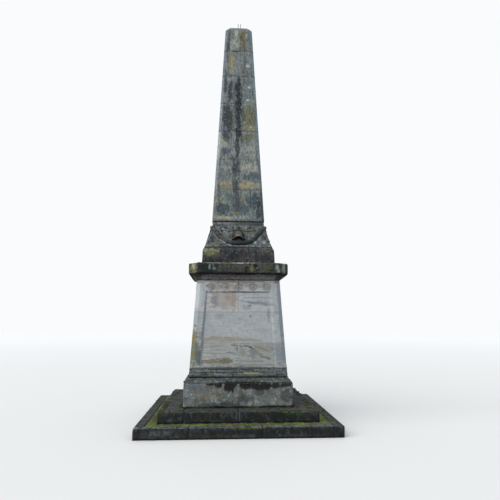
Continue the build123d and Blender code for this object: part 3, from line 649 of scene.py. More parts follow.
# %% The stones of the die
DIE_TONES = {
    # main, pale, warm
    "die_bottom_left": ("B8C1C2", "C7CECE", "AFAA9C"),
    "die_bottom_right": ("A8AFB1", "B8BEBE", "A6A296"),
    "die_middle_front": ("BBC4C9", "C5CDD2", "B7B9B8"),
    "die_middle_back": ("B9C0C4", "C5CBCE", "BAB8AF"),
    "die_top_left": ("CFD2D5", "D8DCDF", "D0C4BA"),
    "die_top_right": ("C1C9CF", "CCD4D9", "C2C2BF"),
    "die_mortar": ("A0A6A8", "B4B8BA", "A09B90"),
}
CALM_BED, LIVELY_BED = 0.45, 1.0        # how strongly a stone's beds and grit show
FILM = 0.4                              # share of the even grey film over the whole die


def die_finish(name, tones, shift):
    """One stone of the die: bands of its bed, a few stains, yellow lichen on the left corner,
    painted light and shade.
    """
    material, tree, colour = sandstone(f"rubbed_{name}_sandstone", *tones, shift=shift, rough=0.82)
    ragged = cloud(tree, 60, stretch=(1.6, 1.6, 0.6), shift=shift, detail=8, rough=0.72)
    bed, darkest = (LIVELY_BED, 0.84) if name.startswith("die_bottom") else (CALM_BED, 0.92)
    colour = speckled(tree, colour, tones[2], 34, 0.48, 0.66, 0.5 * bed + 0.1,
                      stretch=(14, 14, 1), shift=shift + 11, detail=7)
    colour = speckled(tree, colour, "6C7071", 15, 0.54, 0.66, 0.6 * bed,
                      stretch=(16, 16, 1), shift=shift + 2, detail=6)
    colour = flecked(tree, colour, ("93A1B2", "AD9F8C", "9E9AA8"), 60, 0.35, shift=shift)
    colour = speckled(tree, colour, "5F6466", 26, 0.56, 0.68, 0.45 * bed,
                      stretch=(1.5, 1.5, 1), shift=shift + 6, detail=5)
    colour = stained(tree, colour, DIE_STAINS, ragged, foot_of(name), top_of(name))
    colour = corner_stained(tree, colour, DIE_CORNERS, ragged)
    dripped = grime_and_shade_tongues(tree, top_of("die_top_left"), 0.07, 50, bare=1.25)
    colour = coat(tree, colour, "6A6A66", dripped, 0.6)
    colour = node(tree, "Mix", {"data_type": "RGBA", 0: FILM, ABOVE: paint("595D5C")},
                  {BELOW: colour}, out=MIXED)
    splashed = grime_and_shade_tongues(tree, foot_of("die_bottom_left"), -0.045, 70, bare=1.08)
    colour = coat(tree, colour, "3F4649", splashed, 0.75)
    # Painted bluish sky light on the right chamfers.
    colour = coat(tree, colour, "97A4B0", cornerwise(tree, 1), 0.5)
    # Painted shade, with dirt, in the panel's reveals and the other hollows.
    colour = coat(tree, colour, "5C5852", crevice_shade_and_dirt(tree, 40), 0.55)
    return material, tree, mottled(tree, colour, 30, darkest, 1.08, shift=shift)


for number, (name, tones) in enumerate(DIE_TONES.items()):
    finish(*die_finish(name, tones, 2.3 * number), name)

# %% [markdown]
# ## Socle, carved block and cornice
# These dark middle stones stay wet longest, so algae and soot have turned them nearly black, with
# grey and bluish lichen in crusts, and dirt and painted shade in every hollow of the carving. Baked
# shadows could give that darkness, but a mask of hidden sky works it out from the carving itself. It
# comes last, over all the stains, because it is what lets the carving be read.

# %% Stains of the dark stones
DARK_STAINS = (
    # colour, (across, up), (reach across, reach up), strength, tilt
    # the cornice
    ("0C1512", (-0.49, 2.38), (0.21, 0.20), 0.90),
    ("1E2620", (-0.36, 2.40), (0.06, 0.09), 0.70),
    ("71827F", (-0.455, 2.405), (0.026, 0.050), 0.85),
    ("667673", (-0.385, 2.375), (0.040, 0.028), 0.80),
    ("5A6A68", (-0.400, 2.425), (0.022, 0.020), 0.65),
    ("3A3B36", (-0.06, 2.38), (0.28, 0.10), 0.75),
    ("48443A", (0.03, 2.41), (0.10, 0.04), 0.60),
    ("0A0D0F", (0.12, 2.36), (0.050, 0.060), 0.95),
    ("66642E", (0.20, 2.38), (0.040, 0.07), 0.85),
    ("0A0D0F", (0.26, 2.42), (0.042, 0.048), 0.95),
    ("15191A", (0.29, 2.35), (0.035, 0.025), 0.80),
    ("434527", (0.44, 2.40), (0.10, 0.05), 0.80),
    ("20241E", (0.50, 2.34), (0.06, 0.03), 0.70),
    ("7B8A92", (0.60, 2.40), (0.035, 0.06), 0.90),
    ("86959C", (0.62, 2.34), (0.030, 0.04), 0.80),
    ("525C2E", (0.67, 2.36), (0.025, 0.04), 0.75),
    # painted shadow: a black line along the foot of the cornice
    ("0C0E0F", (0.00, 2.302), (2.00, 0.010), 0.95),
    ("B5BEBA", (0.00, 2.468), (0.30, 0.016), 0.90),
    ("9AA49E", (-0.40, 2.466), (0.22, 0.014), 0.75),
    ("5A6E22", (-0.17, 2.468), (0.09, 0.020), 0.90),
    ("4F6220", (0.50, 2.466), (0.14, 0.014), 0.70),
    # the socle
    ("7C7A5A", (-0.45, 2.66), (0.16, 0.080), 0.60),
    ("8E8B66", (-0.53, 2.69), (0.035, 0.045), 0.70),
    ("86835C", (-0.43, 2.705), (0.050, 0.028), 0.65),
    ("77754E", (-0.35, 2.67), (0.035, 0.030), 0.55),
    ("7E7C58", (-0.49, 2.61), (0.040, 0.035), 0.55),
    ("6E6C46", (-0.31, 2.72), (0.030, 0.020), 0.60),
    ("3F4234", (-0.34, 2.60), (0.10, 0.05), 0.60),
    ("161C22", (-0.08, 2.60), (0.10, 0.08), 0.90),
    ("1C2023", (-0.34, 2.52), (0.16, 0.04), 0.80),
    ("332F2E", (0.14, 2.62), (0.16, 0.08), 0.75),
    ("2A292D", (0.38, 2.56), (0.16, 0.07), 0.75),
    ("54523A", (0.36, 2.68), (0.06, 0.03), 0.70),
    ("5D5A4C", (0.44, 2.73), (0.10, 0.02), 0.50),
    ("3B3E1F", (-0.20, 2.475), (0.16, 0.012), 0.70),
    ("17191B", (-0.15, 2.755), (0.30, 0.014), 0.70),
    # the carved block
    ("93A4B2", (0.27, 2.850), (0.040, 0.050), 0.90),
    ("7D8D90", (0.34, 2.900), (0.030, 0.060), 0.60),
    ("83928F", (0.42, 2.835), (0.045, 0.035), 0.80),
    ("66653A", (-0.26, 2.98), (0.035, 0.05), 0.80),
    ("64633E", (0.26, 3.00), (0.05, 0.04), 0.80),
    ("5A5C34", (-0.38, 2.80), (0.10, 0.03), 0.70),
    ("5F5D33", (-0.34, 3.02), (0.03, 0.04), 0.60),
    ("7F8D98", (-0.235, 3.045), (0.022, 0.055), 0.85, 35),
    ("1A1F26", (-0.42, 2.88), (0.05, 0.07), 0.80),
    ("20262E", (0.42, 2.93), (0.05, 0.06), 0.70),
    ("191E20", (-0.20, 3.09), (0.04, 0.020), 0.80),
    ("1A1F22", (0.20, 3.09), (0.05, 0.018), 0.80),
    ("22282C", (-0.10, 2.92), (0.08, 0.05), 0.60),
    ("A2A8AC", (0.00, 3.170), (0.48, 0.030), 0.85),
    ("7A7B78", (-0.08, 3.150), (0.20, 0.014), 0.45),
    ("4B4E2E", (0.05, 3.08), (0.05, 0.03), 0.60),
)
DARK_CORNERS = (
    # side, colour, distance out, height, reach, reach up, strength
    (-1, "B2B284", 0.757, 2.40, 0.10, 0.17, 0.90),
    (-1, "6B5528", 0.735, 2.34, 0.06, 0.06, 0.85),
    (-1, "A8AA9E", 0.775, 2.43, 0.05, 0.04, 0.70),
    (1, "8E9686", 0.720, 2.39, 0.06, 0.12, 0.80),
    (1, "77748A", 0.770, 2.38, 0.06, 0.09, 0.75),
)
print(len(DARK_STAINS), "stains on each side of the dark stones")

# %% Socle and cornice
def dark_finish(name, tones, shift, piece, flecks, depth=0.7):
    """A stone that stays damp: black algae in streaks, lichen crusts, and dirt and painted shade in
    its hollows.
    """
    material, tree, colour = sandstone(name, *tones, shift=shift)
    ragged = cloud(tree, 40, shift=shift, detail=8, rough=0.78)
    colour = speckled(tree, colour, "101418", 40, 0.47, 0.62, depth,
                      stretch=(1, 1, 3), shift=shift + 4, detail=7)
    colour = flecked(tree, colour, flecks, 52, 0.7, shift=shift + 8)
    rim = rim_of(tree, piece) if piece == "cornice" else None
    colour = stained(tree, colour, DARK_STAINS, ragged, foot_of(piece), top_of(piece),
                     torn=3.0, rim=rim)
    if piece == "cornice":
        colour = corner_stained(tree, colour, DARK_CORNERS, ragged)
    colour = speckled(tree, colour, "7F8A8B", 38, 0.58, 0.68, 0.5, shift=shift + 15, detail=6)
    # Painted shade and dirt in the hollows.
    colour = coat(tree, colour, "0B0D0F", crevice_shade_and_dirt(tree, 60), 0.9)
    return material, tree, mottled(tree, colour, 28, 0.6, 1.36, shift=shift)


finish(*dark_finish("sooty_socle_sandstone", ("34363C", "45474B", "40383A"), 3.1, "socle",
                    ("1A2231", "50502F", "3A2F38"), depth=0.8), "socle")
finish(*dark_finish("algae_cornice_sandstone", ("343A39", "444843", "423E30"), 5.9, "cornice",
                    ("18222A", "4E5228", "3C3238")), "cornice")

# %% [markdown]
# The festoon stands only a few centimetres proud, and soot makes it darker than the face behind it;
# its right arm is darkened further with painted shade, as the light comes from the left. Its mask is
# worked out from how far a place stands out past the splayed face. The hood's painted shadow and
# highlights, its band and the pale lower edge of the garland are a few short stains over that.

# %% The carved block
BLOCK_FOOT, BLOCK_NECK, BLOCK_RISE = 0.549, 0.424, 0.372    # half widths and rise of its splay
PROUD = 0.010               # what stands out by this much is carving
SWAG_HALF = (0.43, 0.38)    # the garland's ends, where its black fades out and is whole
RIGHT_HALF = (-0.22, 0.02)  # across from here the garland's right arm gets painted shade
CARVING_SHADE_LIGHT_AND_LINES = (
    # the hood's painted shadow, its band, painted highlights on its lip, and the pale lower edge of
    # the garland
    ("101418", (0.000, 2.965), (0.125, 0.105), 0.80, 0),
    ("635B50", (0.000, 2.960), (0.090, 0.080), 0.80, 0),
    ("989FA4", (0.000, 2.945), (0.055, 0.012), 0.60, 0),
    ("8E969C", (0.000, 2.893), (0.035, 0.012), 0.60, 0),
    ("A0A8A0", (-0.255, 2.850), (0.085, 0.016), 0.90, -38),
    ("98A098", (-0.165, 2.798), (0.070, 0.014), 0.80, -22),
    ("858D87", (-0.010, 2.772), (0.140, 0.011), 0.55, 0),
)


def proud_of_splay(tree):
    """Mask of the carving: what stands out past the block's splayed faces."""
    lean = (BLOCK_FOOT - BLOCK_NECK) / BLOCK_RISE
    level_part = BLOCK_FOOT + lean * foot_of("carved_block")
    plane = sums(tree, "MULTIPLY_ADD", apart(tree)[2], -lean, level_part)
    return between(tree, sums(tree, "SUBTRACT", outward(tree), plane), 0.0, PROUD)


def carved_finish():
    """The carved block: garland black with algae and pale below, its right arm darker with painted
    shade, hood a warmer grey with painted shadow and highlights.
    """
    material, tree, colour = dark_finish(
        "sooty_carved_sandstone", ("50565A", "6A716F", "58584A"), 4.4, "carved_block",
        ("1C2737", "6E6E44", "544C5A", "858F92"), depth=0.65)
    face = unrolled(tree)
    across = node(tree, "SeparateXYZ", {}, {0: face})
    ragged = cloud(tree, 40, shift=7, detail=6, rough=0.7)
    on_swag = between(tree, sums(tree, "ABSOLUTE", across), *SWAG_HALF)
    swag = sums(tree, "MULTIPLY", proud_of_splay(tree), on_swag)
    colour = coat(tree, colour, "12171D", swag, 0.45)
    # Painted shade on the garland's right arm, which faces away from the light.
    shaded_right_arm = between(tree, across, *RIGHT_HALF)
    colour = coat(tree, colour, "10161D", sums(tree, "MULTIPLY", swag, shaded_right_arm), 0.60)
    for hex_code, (place, up), (wide, tall), strength, tilt in CARVING_SHADE_LIGHT_AND_LINES:
        line = stain(tree, face, (place, 0, up), (wide, 1, tall), ragged, tilt, torn=1.6)
        colour = coat(tree, colour, hex_code, line, strength)
    # Painted shade and dirt in the hollows of the carving.
    return material, tree, coat(tree, colour, "08090B", crevice_shade_and_dirt(tree, 35), 0.8)


finish(*carved_finish(), "carved_block")

# %% [markdown]
# The bed moulding hangs under the cornice, so no rain washes it. Its dirt is an even brown-grey.
# Painted shade gives it a black line where it meets the cornice, a dark lower edge and dark ends
# under the slab's cut corners.

# %% Bed moulding
MOULDING_END = 0.650        # middle of a painted dark end, shade under the slab's cut corner, across from the middle of the side


def moulding_finish():
    """The bed moulding: sheltered and evenly dirty, with painted shade black where it meets the
    cornice and dark at its ends and lower edge.
    """
    material, tree, colour = sandstone("sheltered_moulding_sandstone", "75747A", "828187",
                                       "70665E", shift=6.3)
    colour = speckled(tree, colour, "44424A", 50, 0.46, 0.64, 0.55,
                      stretch=(1, 1, 2), shift=3, detail=6)
    low, high = foot_of("bed_moulding"), top_of("bed_moulding")
    # Painted shade: the dark ends under the slab's cut corners.
    ends = tuple(("17151A", (side * MOULDING_END, (low + high) / 2), (0.085, 0.12), 0.72)
                 for side in (-1, 1))
    colour = stained(tree, colour, ends, cloud(tree, 30, shift=3), low, high, torn=1.6)
    # Painted shade: black under the cornice's foot, and dark along the moulding's lower edge.
    colour = coat(tree, colour, "08090A", grime_and_shade_tongues(tree, high, 0.034, 60, bare=1.0), 1.0)
    colour = coat(tree, colour, "1C1A18", grime_and_shade_tongues(tree, low, -0.034, 60, bare=0.95), 0.85)
    return material, tree, mottled(tree, colour, 28, 0.75, 1.2, shift=1.0)


finish(*moulding_finish(), "bed_moulding")

# %% [markdown]
# ## Plinth and base course
# Splash from the steps and drips from above meet here. The faces are a dirty beige-grey, the ledge
# on top is crusted, and black moss hangs down from its arris in tongues. Those are too big and too
# much alike for noise alone, so each is placed, and the drip mask only frays what lies between.

# %% Stains of the plinth and the base course
PLINTH_STAINS = (
    # colour, (across, up), (reach across, reach up), strength, tilt
    ("0C0F0B", (0.030, 0.655), (0.420, 0.028), 0.90),
    ("0A0D0A", (-0.125, 0.600), (0.155, 0.100), 0.97),
    ("0C0F0B", (-0.290, 0.620), (0.080, 0.052), 0.95),
    ("0F120F", (-0.430, 0.634), (0.090, 0.026), 0.90),
    ("0B0E0A", (0.095, 0.606), (0.110, 0.088), 0.97),
    ("0C0F0C", (0.240, 0.608), (0.130, 0.072), 0.96),
    ("0D100C", (0.400, 0.606), (0.140, 0.072), 0.96),
    ("0F120E", (0.560, 0.614), (0.130, 0.058), 0.94),
    ("131612", (0.700, 0.618), (0.130, 0.044), 0.90),
    ("7B7D74", (0.000, 0.580), (0.028, 0.032), 0.50),
    ("38433A", (0.05, 0.690), (0.50, 0.020), 0.50),
    ("1A1D18", (0.30, 0.520), (0.12, 0.070), 0.60),
    ("262A22", (0.10, 0.430), (0.20, 0.080), 0.55),
    ("81796A", (-0.27, 0.562), (0.04, 0.032), 0.60),
    ("7F7867", (0.07, 0.545), (0.04, 0.035), 0.60),
    ("5C646A", (-0.62, 0.590), (0.20, 0.060), 0.70),
    ("666E72", (-0.72, 0.600), (0.08, 0.040), 0.60),
    ("50575C", (-0.46, 0.600), (0.04, 0.030), 0.60),
    ("7A705A", (-0.45, 0.470), (0.20, 0.060), 0.45),
    ("202320", (0.72, 0.480), (0.12, 0.110), 0.60),
    ("1D211E", (-0.30, 0.340), (0.40, 0.040), 0.60),
)
BASE_STAINS = (
    # colour, (across, up), (reach across, reach up), strength, tilt
    # ledge lines, broken by wear
    ("191D20", (-0.30, 0.856), (0.42, 0.010), 0.85),
    ("1E2225", (0.36, 0.856), (0.30, 0.010), 0.75),
    ("23282B", (-0.20, 0.840), (0.30, 0.010), 0.60),
    ("1C2022", (-0.40, 0.803), (0.26, 0.009), 0.70),
    ("1F2325", (0.10, 0.803), (0.24, 0.009), 0.60),
    ("15191C", (-0.30, 0.733), (0.50, 0.012), 0.92),
    ("191D1F", (0.40, 0.733), (0.38, 0.010), 0.80),
    ("8F8766", (0.20, 0.785), (0.16, 0.020), 0.85),
    ("A09B80", (0.10, 0.795), (0.06, 0.012), 0.75),
    ("7B7458", (0.34, 0.775), (0.06, 0.014), 0.60),
    ("14181A", (0.14, 0.835), (0.10, 0.014), 0.85),
    ("22272B", (-0.52, 0.770), (0.12, 0.018), 0.75),
    ("3A3E3A", (-0.10, 0.770), (0.12, 0.016), 0.60),
    ("1F2427", (0.62, 0.765), (0.06, 0.020), 0.75),
    ("6D6A58", (-0.66, 0.800), (0.08, 0.020), 0.45),
)
print(len(PLINTH_STAINS), "stains on the plinth,", len(BASE_STAINS), "on the base course")

# %% Plinth and base course
SPLAY_FOOT = top_of("plinth_front") - 0.077     # the arris under the plinth's splayed top


def plinth_finish():
    """The plinth: beige-grey faces under a crusted ledge, black moss hanging from the arris."""
    material, tree, colour = sandstone("mossy_plinth_sandstone", "5F6768", "73797A", "6B6553",
                                       shift=2.0)
    ragged = cloud(tree, 50, stretch=(0.8, 0.8, 2.2), shift=4, detail=8, rough=0.75)
    colour = speckled(tree, colour, "7D7869", 60, 0.5, 0.66, 0.45,
                      stretch=(1, 1, 3), shift=2, detail=6)
    colour = speckled(tree, colour, "2B2F2A", 120, 0.48, 0.6, 0.5, shift=4, detail=7)
    crust = sums(tree, "MULTIPLY", speckle(tree, 50, 0.46, 0.62, shift=8, detail=6), upward(tree))
    colour = coat(tree, colour, "343C40", upward(tree), 0.88)
    colour = coat(tree, colour, "1E2624", crust, 0.6)
    colour = flecked(tree, colour, ("3E4A56", "585E40", "9AA3A4"), 56, 0.6, shift=3)
    colour = stained(tree, colour, PLINTH_STAINS, ragged, foot_of("plinth_front"),
                     SPLAY_FOOT + 0.017)
    hanging = grime_and_shade_tongues(tree, SPLAY_FOOT + 0.012, 0.05, 40, bare=1.22, shift=3)
    colour = coat(tree, colour, "191C18", hanging, 0.8)
    # Painted shade, with dirt, in the hollows.
    colour = coat(tree, colour, "121513", crevice_shade_and_dirt(tree, 60), 0.8)
    return material, tree, mottled(tree, colour, 30, 0.7, 1.25, shift=2.0)


def base_finish(name, shift):
    """The base course: two narrow bands, worn uneven and dirty along their ledges."""
    material, tree, colour = sandstone(f"sooty_{name}_sandstone", "5C6367", "757B7E", "6F6B5C",
                                       shift=shift)
    ragged = cloud(tree, 40, stretch=(1.4, 1.4, 0.8), shift=shift, detail=8, rough=0.75)
    colour = speckled(tree, colour, "1F2427", 36, 0.48, 0.62, 0.75,
                      stretch=(1.4, 1.4, 1), shift=shift, detail=7)
    colour = speckled(tree, colour, "8A908E", 34, 0.54, 0.66, 0.4,
                      stretch=(2, 2, 1), shift=shift + 6)
    colour = flecked(tree, colour, ("2C3644", "55583C", "565058"), 40, 0.5, shift=shift)
    colour = coat(tree, colour, "2B3134", upward(tree), 0.8)
    colour = stained(tree, colour, BASE_STAINS, ragged, foot_of(name), top_of(name))
    # Painted shade, with dirt, in the hollows.
    colour = coat(tree, colour, "15181A", crevice_shade_and_dirt(tree, 40), 0.6)
    colour = speckled(tree, colour, "7F8783", 30, 0.58, 0.66, 0.55, shift=shift + 20, detail=5)
    return material, tree, mottled(tree, colour, 28, 0.6, 1.16, shift=shift)


finish(*plinth_finish(), "plinth_front", "plinth_back")
for number, name in enumerate(("base_course_left", "base_course_right")):
    finish(*base_finish(name, 1.3 + number), name)

# %% [markdown]
# ## Steps, fill and mortar
# The steps are the wettest stones of all: black on their risers, moss green along joints and inner
# edges, and brown with leaf mould on the treads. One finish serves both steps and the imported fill,
# in other tones, because the same damp made them all.

# %% Stains of the steps
STEP_STAINS = (
    # colour, (across, up), (reach across, reach up), strength, tilt
    # the lower step
    ("2F332F", (-0.69, 0.080), (0.06, 0.060), 0.70),
    ("0D0F10", (-0.69, 0.085), (0.05, 0.014), 0.90, 45),
    ("0D0F10", (-0.69, 0.085), (0.05, 0.014), 0.90, -45),
    ("0F1214", (0.31, 0.080), (0.11, 0.020), 0.85, -50),
    ("3C362D", (-0.20, 0.040), (0.50, 0.040), 0.55),
    ("3A352C", (0.80, 0.040), (0.40, 0.035), 0.45),
    ("5E6868", (-1.10, 0.090), (0.20, 0.050), 0.40),
    ("8F9895", (1.34, 0.140), (0.035, 0.020), 0.70),
    ("525A20", (0.10, 0.140), (0.30, 0.016), 0.60),
    ("08090B", (0.10, 0.085), (0.85, 0.045), 0.55),
    ("0A0C0F", (0.95, 0.090), (0.44, 0.055), 0.60),
    # the upper step
    ("7E8486", (-0.02, 0.235), (0.040, 0.080), 0.60),
    ("4D5A20", (0.72, 0.288), (0.16, 0.014), 0.85),
    ("4E5B22", (0.90, 0.290), (0.20, 0.010), 0.70),
    ("3F4A1C", (0.40, 0.160), (0.30, 0.020), 0.60),
    ("2C4632", (0.80, 0.262), (0.17, 0.034), 0.70),
    ("0B0D0E", (0.60, 0.220), (0.30, 0.050), 0.60),
    ("0A0C0E", (0.40, 0.225), (0.90, 0.075), 0.55),
)
print(len(STEP_STAINS), "stains on the steps")

# %% Steps and fill
KERB_TONES = ("1D2123", "292E31", "28231F")
STEP_TONES = ("121718", "1C2324", "1B1B16")
HEARTING_TONES = ("3E3E36", "4E4E44", "453C2F")
FILL_TONES = ("3A3828", "484834", "443826")


def step_finish(name, tones, shift, green, piece):
    """A step's stones: sooty risers, treads brown-grey with leaf mould, moss in patches."""
    material, tree, colour = sandstone(name, *tones, shift=shift)
    ragged = cloud(tree, 50, shift=shift, detail=8, rough=0.75)
    colour = speckled(tree, colour, "0C1012", 80, 0.42, 0.6, 0.75,
                      stretch=(1, 1, 2), shift=shift, detail=7)
    tread = "687278" if piece == "kerb_front" else "3D3E3B"
    colour = coat(tree, colour, tread, upward(tree), 0.8)
    colour = flecked(tree, colour, ("181F2A", "333520", "3A333A"), 60, 0.6, shift=shift)
    trodden = speckle(tree, 50, 0.55, 0.66, shift=shift + 13, detail=6)
    colour = coat(tree, colour, "74766E", sums(tree, "MULTIPLY", trodden, upward(tree)), 0.6)
    colour = speckled(tree, colour, "2F2E2A", 60, 0.48, 0.62, 0.55, shift=shift + 3, detail=7)
    colour = speckled(tree, colour, green, 60, 0.54, 0.64, 0.7, shift=shift + 6, detail=7)
    colour = speckled(tree, colour, "79827E", 24, 0.6, 0.7, 0.3, shift=shift + 9, detail=4)
    if piece in ("kerb_front", "upper_step_front"):
        colour = stained(tree, colour, STEP_STAINS, ragged, foot_of(piece), top_of(piece),
                         rim=rim_of(tree, piece))
    colour = speckled(tree, colour, "040506", 60, 0.48, 0.58, 0.65,
                      stretch=(1, 1, 2), shift=shift + 27, detail=7, rough=0.72)
    colour = speckled(tree, colour, "3F4C56", 90, 0.53, 0.62, 0.55,
                      stretch=(1, 1, 1.4), shift=shift + 21, detail=7, rough=0.75)
    # Painted shade, with dirt, in the hollows.
    colour = coat(tree, colour, "0D0F0F", crevice_shade_and_dirt(tree, 60), 0.7)
    return material, tree, mottled(tree, colour, 32, 0.7, 1.3, shift=shift), piece


for number, side in enumerate(SIDES):
    finish(*step_finish(f"sooty_kerb_sandstone_{side}", KERB_TONES, 2.1 * number, "2C3418",
                        f"kerb_{side}"))
    finish(*step_finish(f"mossy_step_sandstone_{side}", STEP_TONES, 1 + 1.9 * number, "2A3217",
                        f"upper_step_{side}"))
finish(*step_finish("packed_upper_step_hearting", HEARTING_TONES, 8.0, "4A5424",
                    "upper_step_hearting"))
finish(*step_finish("packed_lower_step_fill", FILL_TONES, 8.0, "4A5620", "lower_step_fill"))

# %% [markdown]
# Mortar is lime and sand, dirty but paler than the stones beside it, and rougher. In the steps the
# moss has taken it, and in the bed under the shaft the soot has, so those two are nearly black.

# %% Mortar
def mortar_finish(name, main, pale, dirt, shift):
    """Lime mortar, blotched with soot."""
    material, tree, colour = sandstone(name, main, pale, dirt, shift=shift, rough=0.95)
    colour = speckled(tree, colour, "23272A", 40, 0.5, 0.64, 0.6, shift=shift + 2, detail=5)
    return material, tree, colour


finish(*mortar_finish("dirty_lime_mortar", "575B59", "6F7269", "46433A", 1.0),
       "plinth_mortar", "base_course_mortar")
finish(*mortar_finish("mossy_step_mortar", "262A29", "363A36", "25241D", 2.0),
       "kerb_mortar", "upper_step_mortar")
finish(*mortar_finish("sooty_bed_mortar", "1B1F21", "272B2D", "211F1C", 3.0), "shaft_bed")

# %% [markdown]
# ## The iron dowels
# Two bare pins show where the finial was. Wrought iron rusts brown-black outdoors, rough and less
# than half metallic, because scale covers it. Scale lies in flakes of about a centimetre here, and
# the same patches give its colour and its relief.

# %% Rusted iron
SCALE_MM = 12
SCALE_THICKNESS = 0.001


def rusted_iron(name):
    """Wrought iron under flaking rust."""
    material, tree, shader = plain_material(name, rough=0.7)
    shader.inputs["Metallic"].default_value = 0.3
    scale = speckle(tree, SCALE_MM, 0.4, 0.62, detail=5)
    colour = coat(tree, "6A6E74", "7C6A5E", scale)
    bump = node(tree, "Bump", {"Strength": 0.6, "Distance": SCALE_THICKNESS}, {"Height": scale})
    tree.links.new(bump, shader.inputs["Normal"])
    return material, tree, colour


finish(*rusted_iron("rusted_wrought_iron"), "finial_dowels")

# %% [markdown]
# ## Worn arrises
# A mason leaves sharp arrises and the weather rounds and nibbles them. A Bevel modifier would round
# them evenly, as no weather does. The CAD stones stay crisp, so each exposed stone gets a stand-in:
# its own mesh, joined up, its arrises bevelled, cut into small squares by planes, and then every
# point near an arris is pushed in by a little noise.

# %% Wearing a stone
WELD = 0.00005              # the CAD mesh is loose triangles, and this joins their corners
ONE_FACE = radians(0.5)     # triangles that turn less than this are one face
ARRIS = radians(20)         # edges that turn more than this are arrises
SHARP = 0.04                # a point's normal this far off its flattest face is on an arris
FACE_WEAR = 0.08            # share of the bite that a flat face gets
BITE = 0.5                  # the usual bite, as a share of the deepest
BITES = ((9, 0.6), (31, 0.5))       # noise to the metre, and how much it adds to the bite


def cut_up(form, spacing):
    """Cut the whole form by planes square to each axis, so that it has points to be worn."""
    for axis in range(3):
        places = [vert.co[axis] for vert in form.verts]
        low, high = min(places), max(places)
        count = int((high - low) / spacing)
        normal = Vector((axis == 0, axis == 1, axis == 2))
        for step in range(1, count):
            place = normal * (low + (high - low) * step / count)
            everything = form.verts[:] + form.edges[:] + form.faces[:]
            bmesh.ops.bisect_plane(form, geom=everything, plane_co=place, plane_no=normal)


def ruffle(place, waves, seed=Vector((0, 0, 0))):
    """Sum of noises at a place, each given by how many to the metre and how high."""
    return sum(height * noise.noise(place * per_metre + seed) for per_metre, height in waves)


def wear(form, rub, seed):
    """Push points in: hardly at all on a face, up to rub on an arris."""
    form.normal_update()
    moves = []
    for vert in form.verts:
        flat = min(vert.normal.dot(face.normal) for face in vert.link_faces)
        edge = min(1.0, (1 - flat) / SHARP)
        bite = max(0, BITE + ruffle(vert.co, BITES, seed))
        share = FACE_WEAR + (1 - FACE_WEAR) * edge * bite
        moves.append((vert, vert.normal * -rub * share))
    for vert, move in moves:
        vert.co += move


def chip(form, centre, radius):
    """Take a round bite out of the stone, its centre just outside the arris."""
    middle = Vector(centre)
    for vert in form.verts:
        away = vert.co - middle
        if 0 < away.length < radius:
            vert.co = middle + away.normalized() * radius


def as_object(name, form, material):
    """Turn a finished form into a smooth object in the scene, with one material."""
    mesh = bpy.data.meshes.new(name)
    form.to_mesh(mesh)
    form.free()
    mesh.materials.append(material)
    for polygon in mesh.polygons:
        polygon.use_smooth = True
    made = bpy.data.objects.new(name, mesh)
    bpy.context.scene.collection.objects.link(made)
    return made


def worn_stone(name, spacing, rounding, rub, chips=()):
    """Stand-in for a CAD stone, with rounded and nibbled arrises."""
    form = bmesh.new()
    form.from_mesh(nodes[name].data)
    bmesh.ops.remove_doubles(form, verts=form.verts, dist=WELD)
    bmesh.ops.dissolve_limit(form, angle_limit=ONE_FACE, verts=form.verts, edges=form.edges)
    arrises = [edge for edge in form.edges if edge.is_manifold and edge.calc_face_angle() > ARRIS]
    bmesh.ops.bevel(form, geom=arrises, offset=rounding, offset_type="OFFSET", segments=2,
                    profile=0.5, affect="EDGES", clamp_overlap=True, material=-1)
    cut_up(form, spacing)
    own_seed = Vector((len(name), ord(name[-1]) % 7, ord(name[0]) % 5))
    wear(form, rub, own_seed)
    for centre, radius in chips:
        chip(form, centre, radius)
    stone = as_object(f"{name}_worn", form, nodes[name].data.materials[0])
    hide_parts(name)
    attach(stone, "root")
    return stone


print("arrises turn more than", round(ARRIS, 3), "radians")

# %% [markdown]
# Frost takes the biggest bites where two stones meet, so the chips are put at joints and corners.
# The shaft was rubbed finest and stands driest, so it is hardly worn.

# %% Wear the exposed stones
KERB_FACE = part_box("kerb_front")[0].y
CHIPS = {
    # centre, radius
    "kerb_front": (((-0.695, KERB_FACE - 0.012, 0.165), 0.042),
                   ((0.31, KERB_FACE - 0.015, 0.168), 0.034),
                   ((1.21, KERB_FACE - 0.02, 0.17), 0.036),
                   ((-1.44, KERB_FACE - 0.01, 0.16), 0.04)),
    "cornice": (((-0.42, -0.80, 2.478), 0.028), ((0.62, -0.80, 2.48), 0.03),
                ((0.12, -0.805, 2.29), 0.026)),
    "plinth_front": (((-0.83, -0.83, 0.655), 0.035), ((0.36, -0.835, 0.662), 0.032),
                     ((0.83, -0.83, 0.655), 0.03)),
    "socle": (((0.59, -0.59, 2.70), 0.03), ((-0.59, -0.59, 2.475), 0.03)),
}
WEAR = {
    # kind of stone: spacing of the cuts, rounding of the arrises, deepest bite
    "kerb": (0.03, 0.006, 0.010),
    "upper_step": (0.035, 0.006, 0.010),
    "plinth": (0.035, 0.007, 0.012),
    "base_course": (0.035, 0.004, 0.007),
    "cornice": (0.03, 0.006, 0.012),
    "socle": (0.035, 0.006, 0.010),
    "shaft_course": (0.05, 0.0008, 0.002),
}
exposed = [f"{kind}_{side}" for side in SIDES for kind in ("kerb", "upper_step")]
exposed += ["plinth_front", "plinth_back", "base_course_left", "base_course_right"]
exposed += ["cornice", "socle"]
exposed += [f"shaft_course_{number}" for number in range(1, len(SHAFT_TONES) + 1)]

triangles = 0
for name in exposed:
    kind = next(kind for kind in WEAR if name.startswith(kind))
    stone = worn_stone(name, *WEAR[kind], CHIPS.get(name, ()))
    triangles += 2 * len(stone.data.polygons)
print("worn stones", len(exposed), "about", triangles, "triangles")

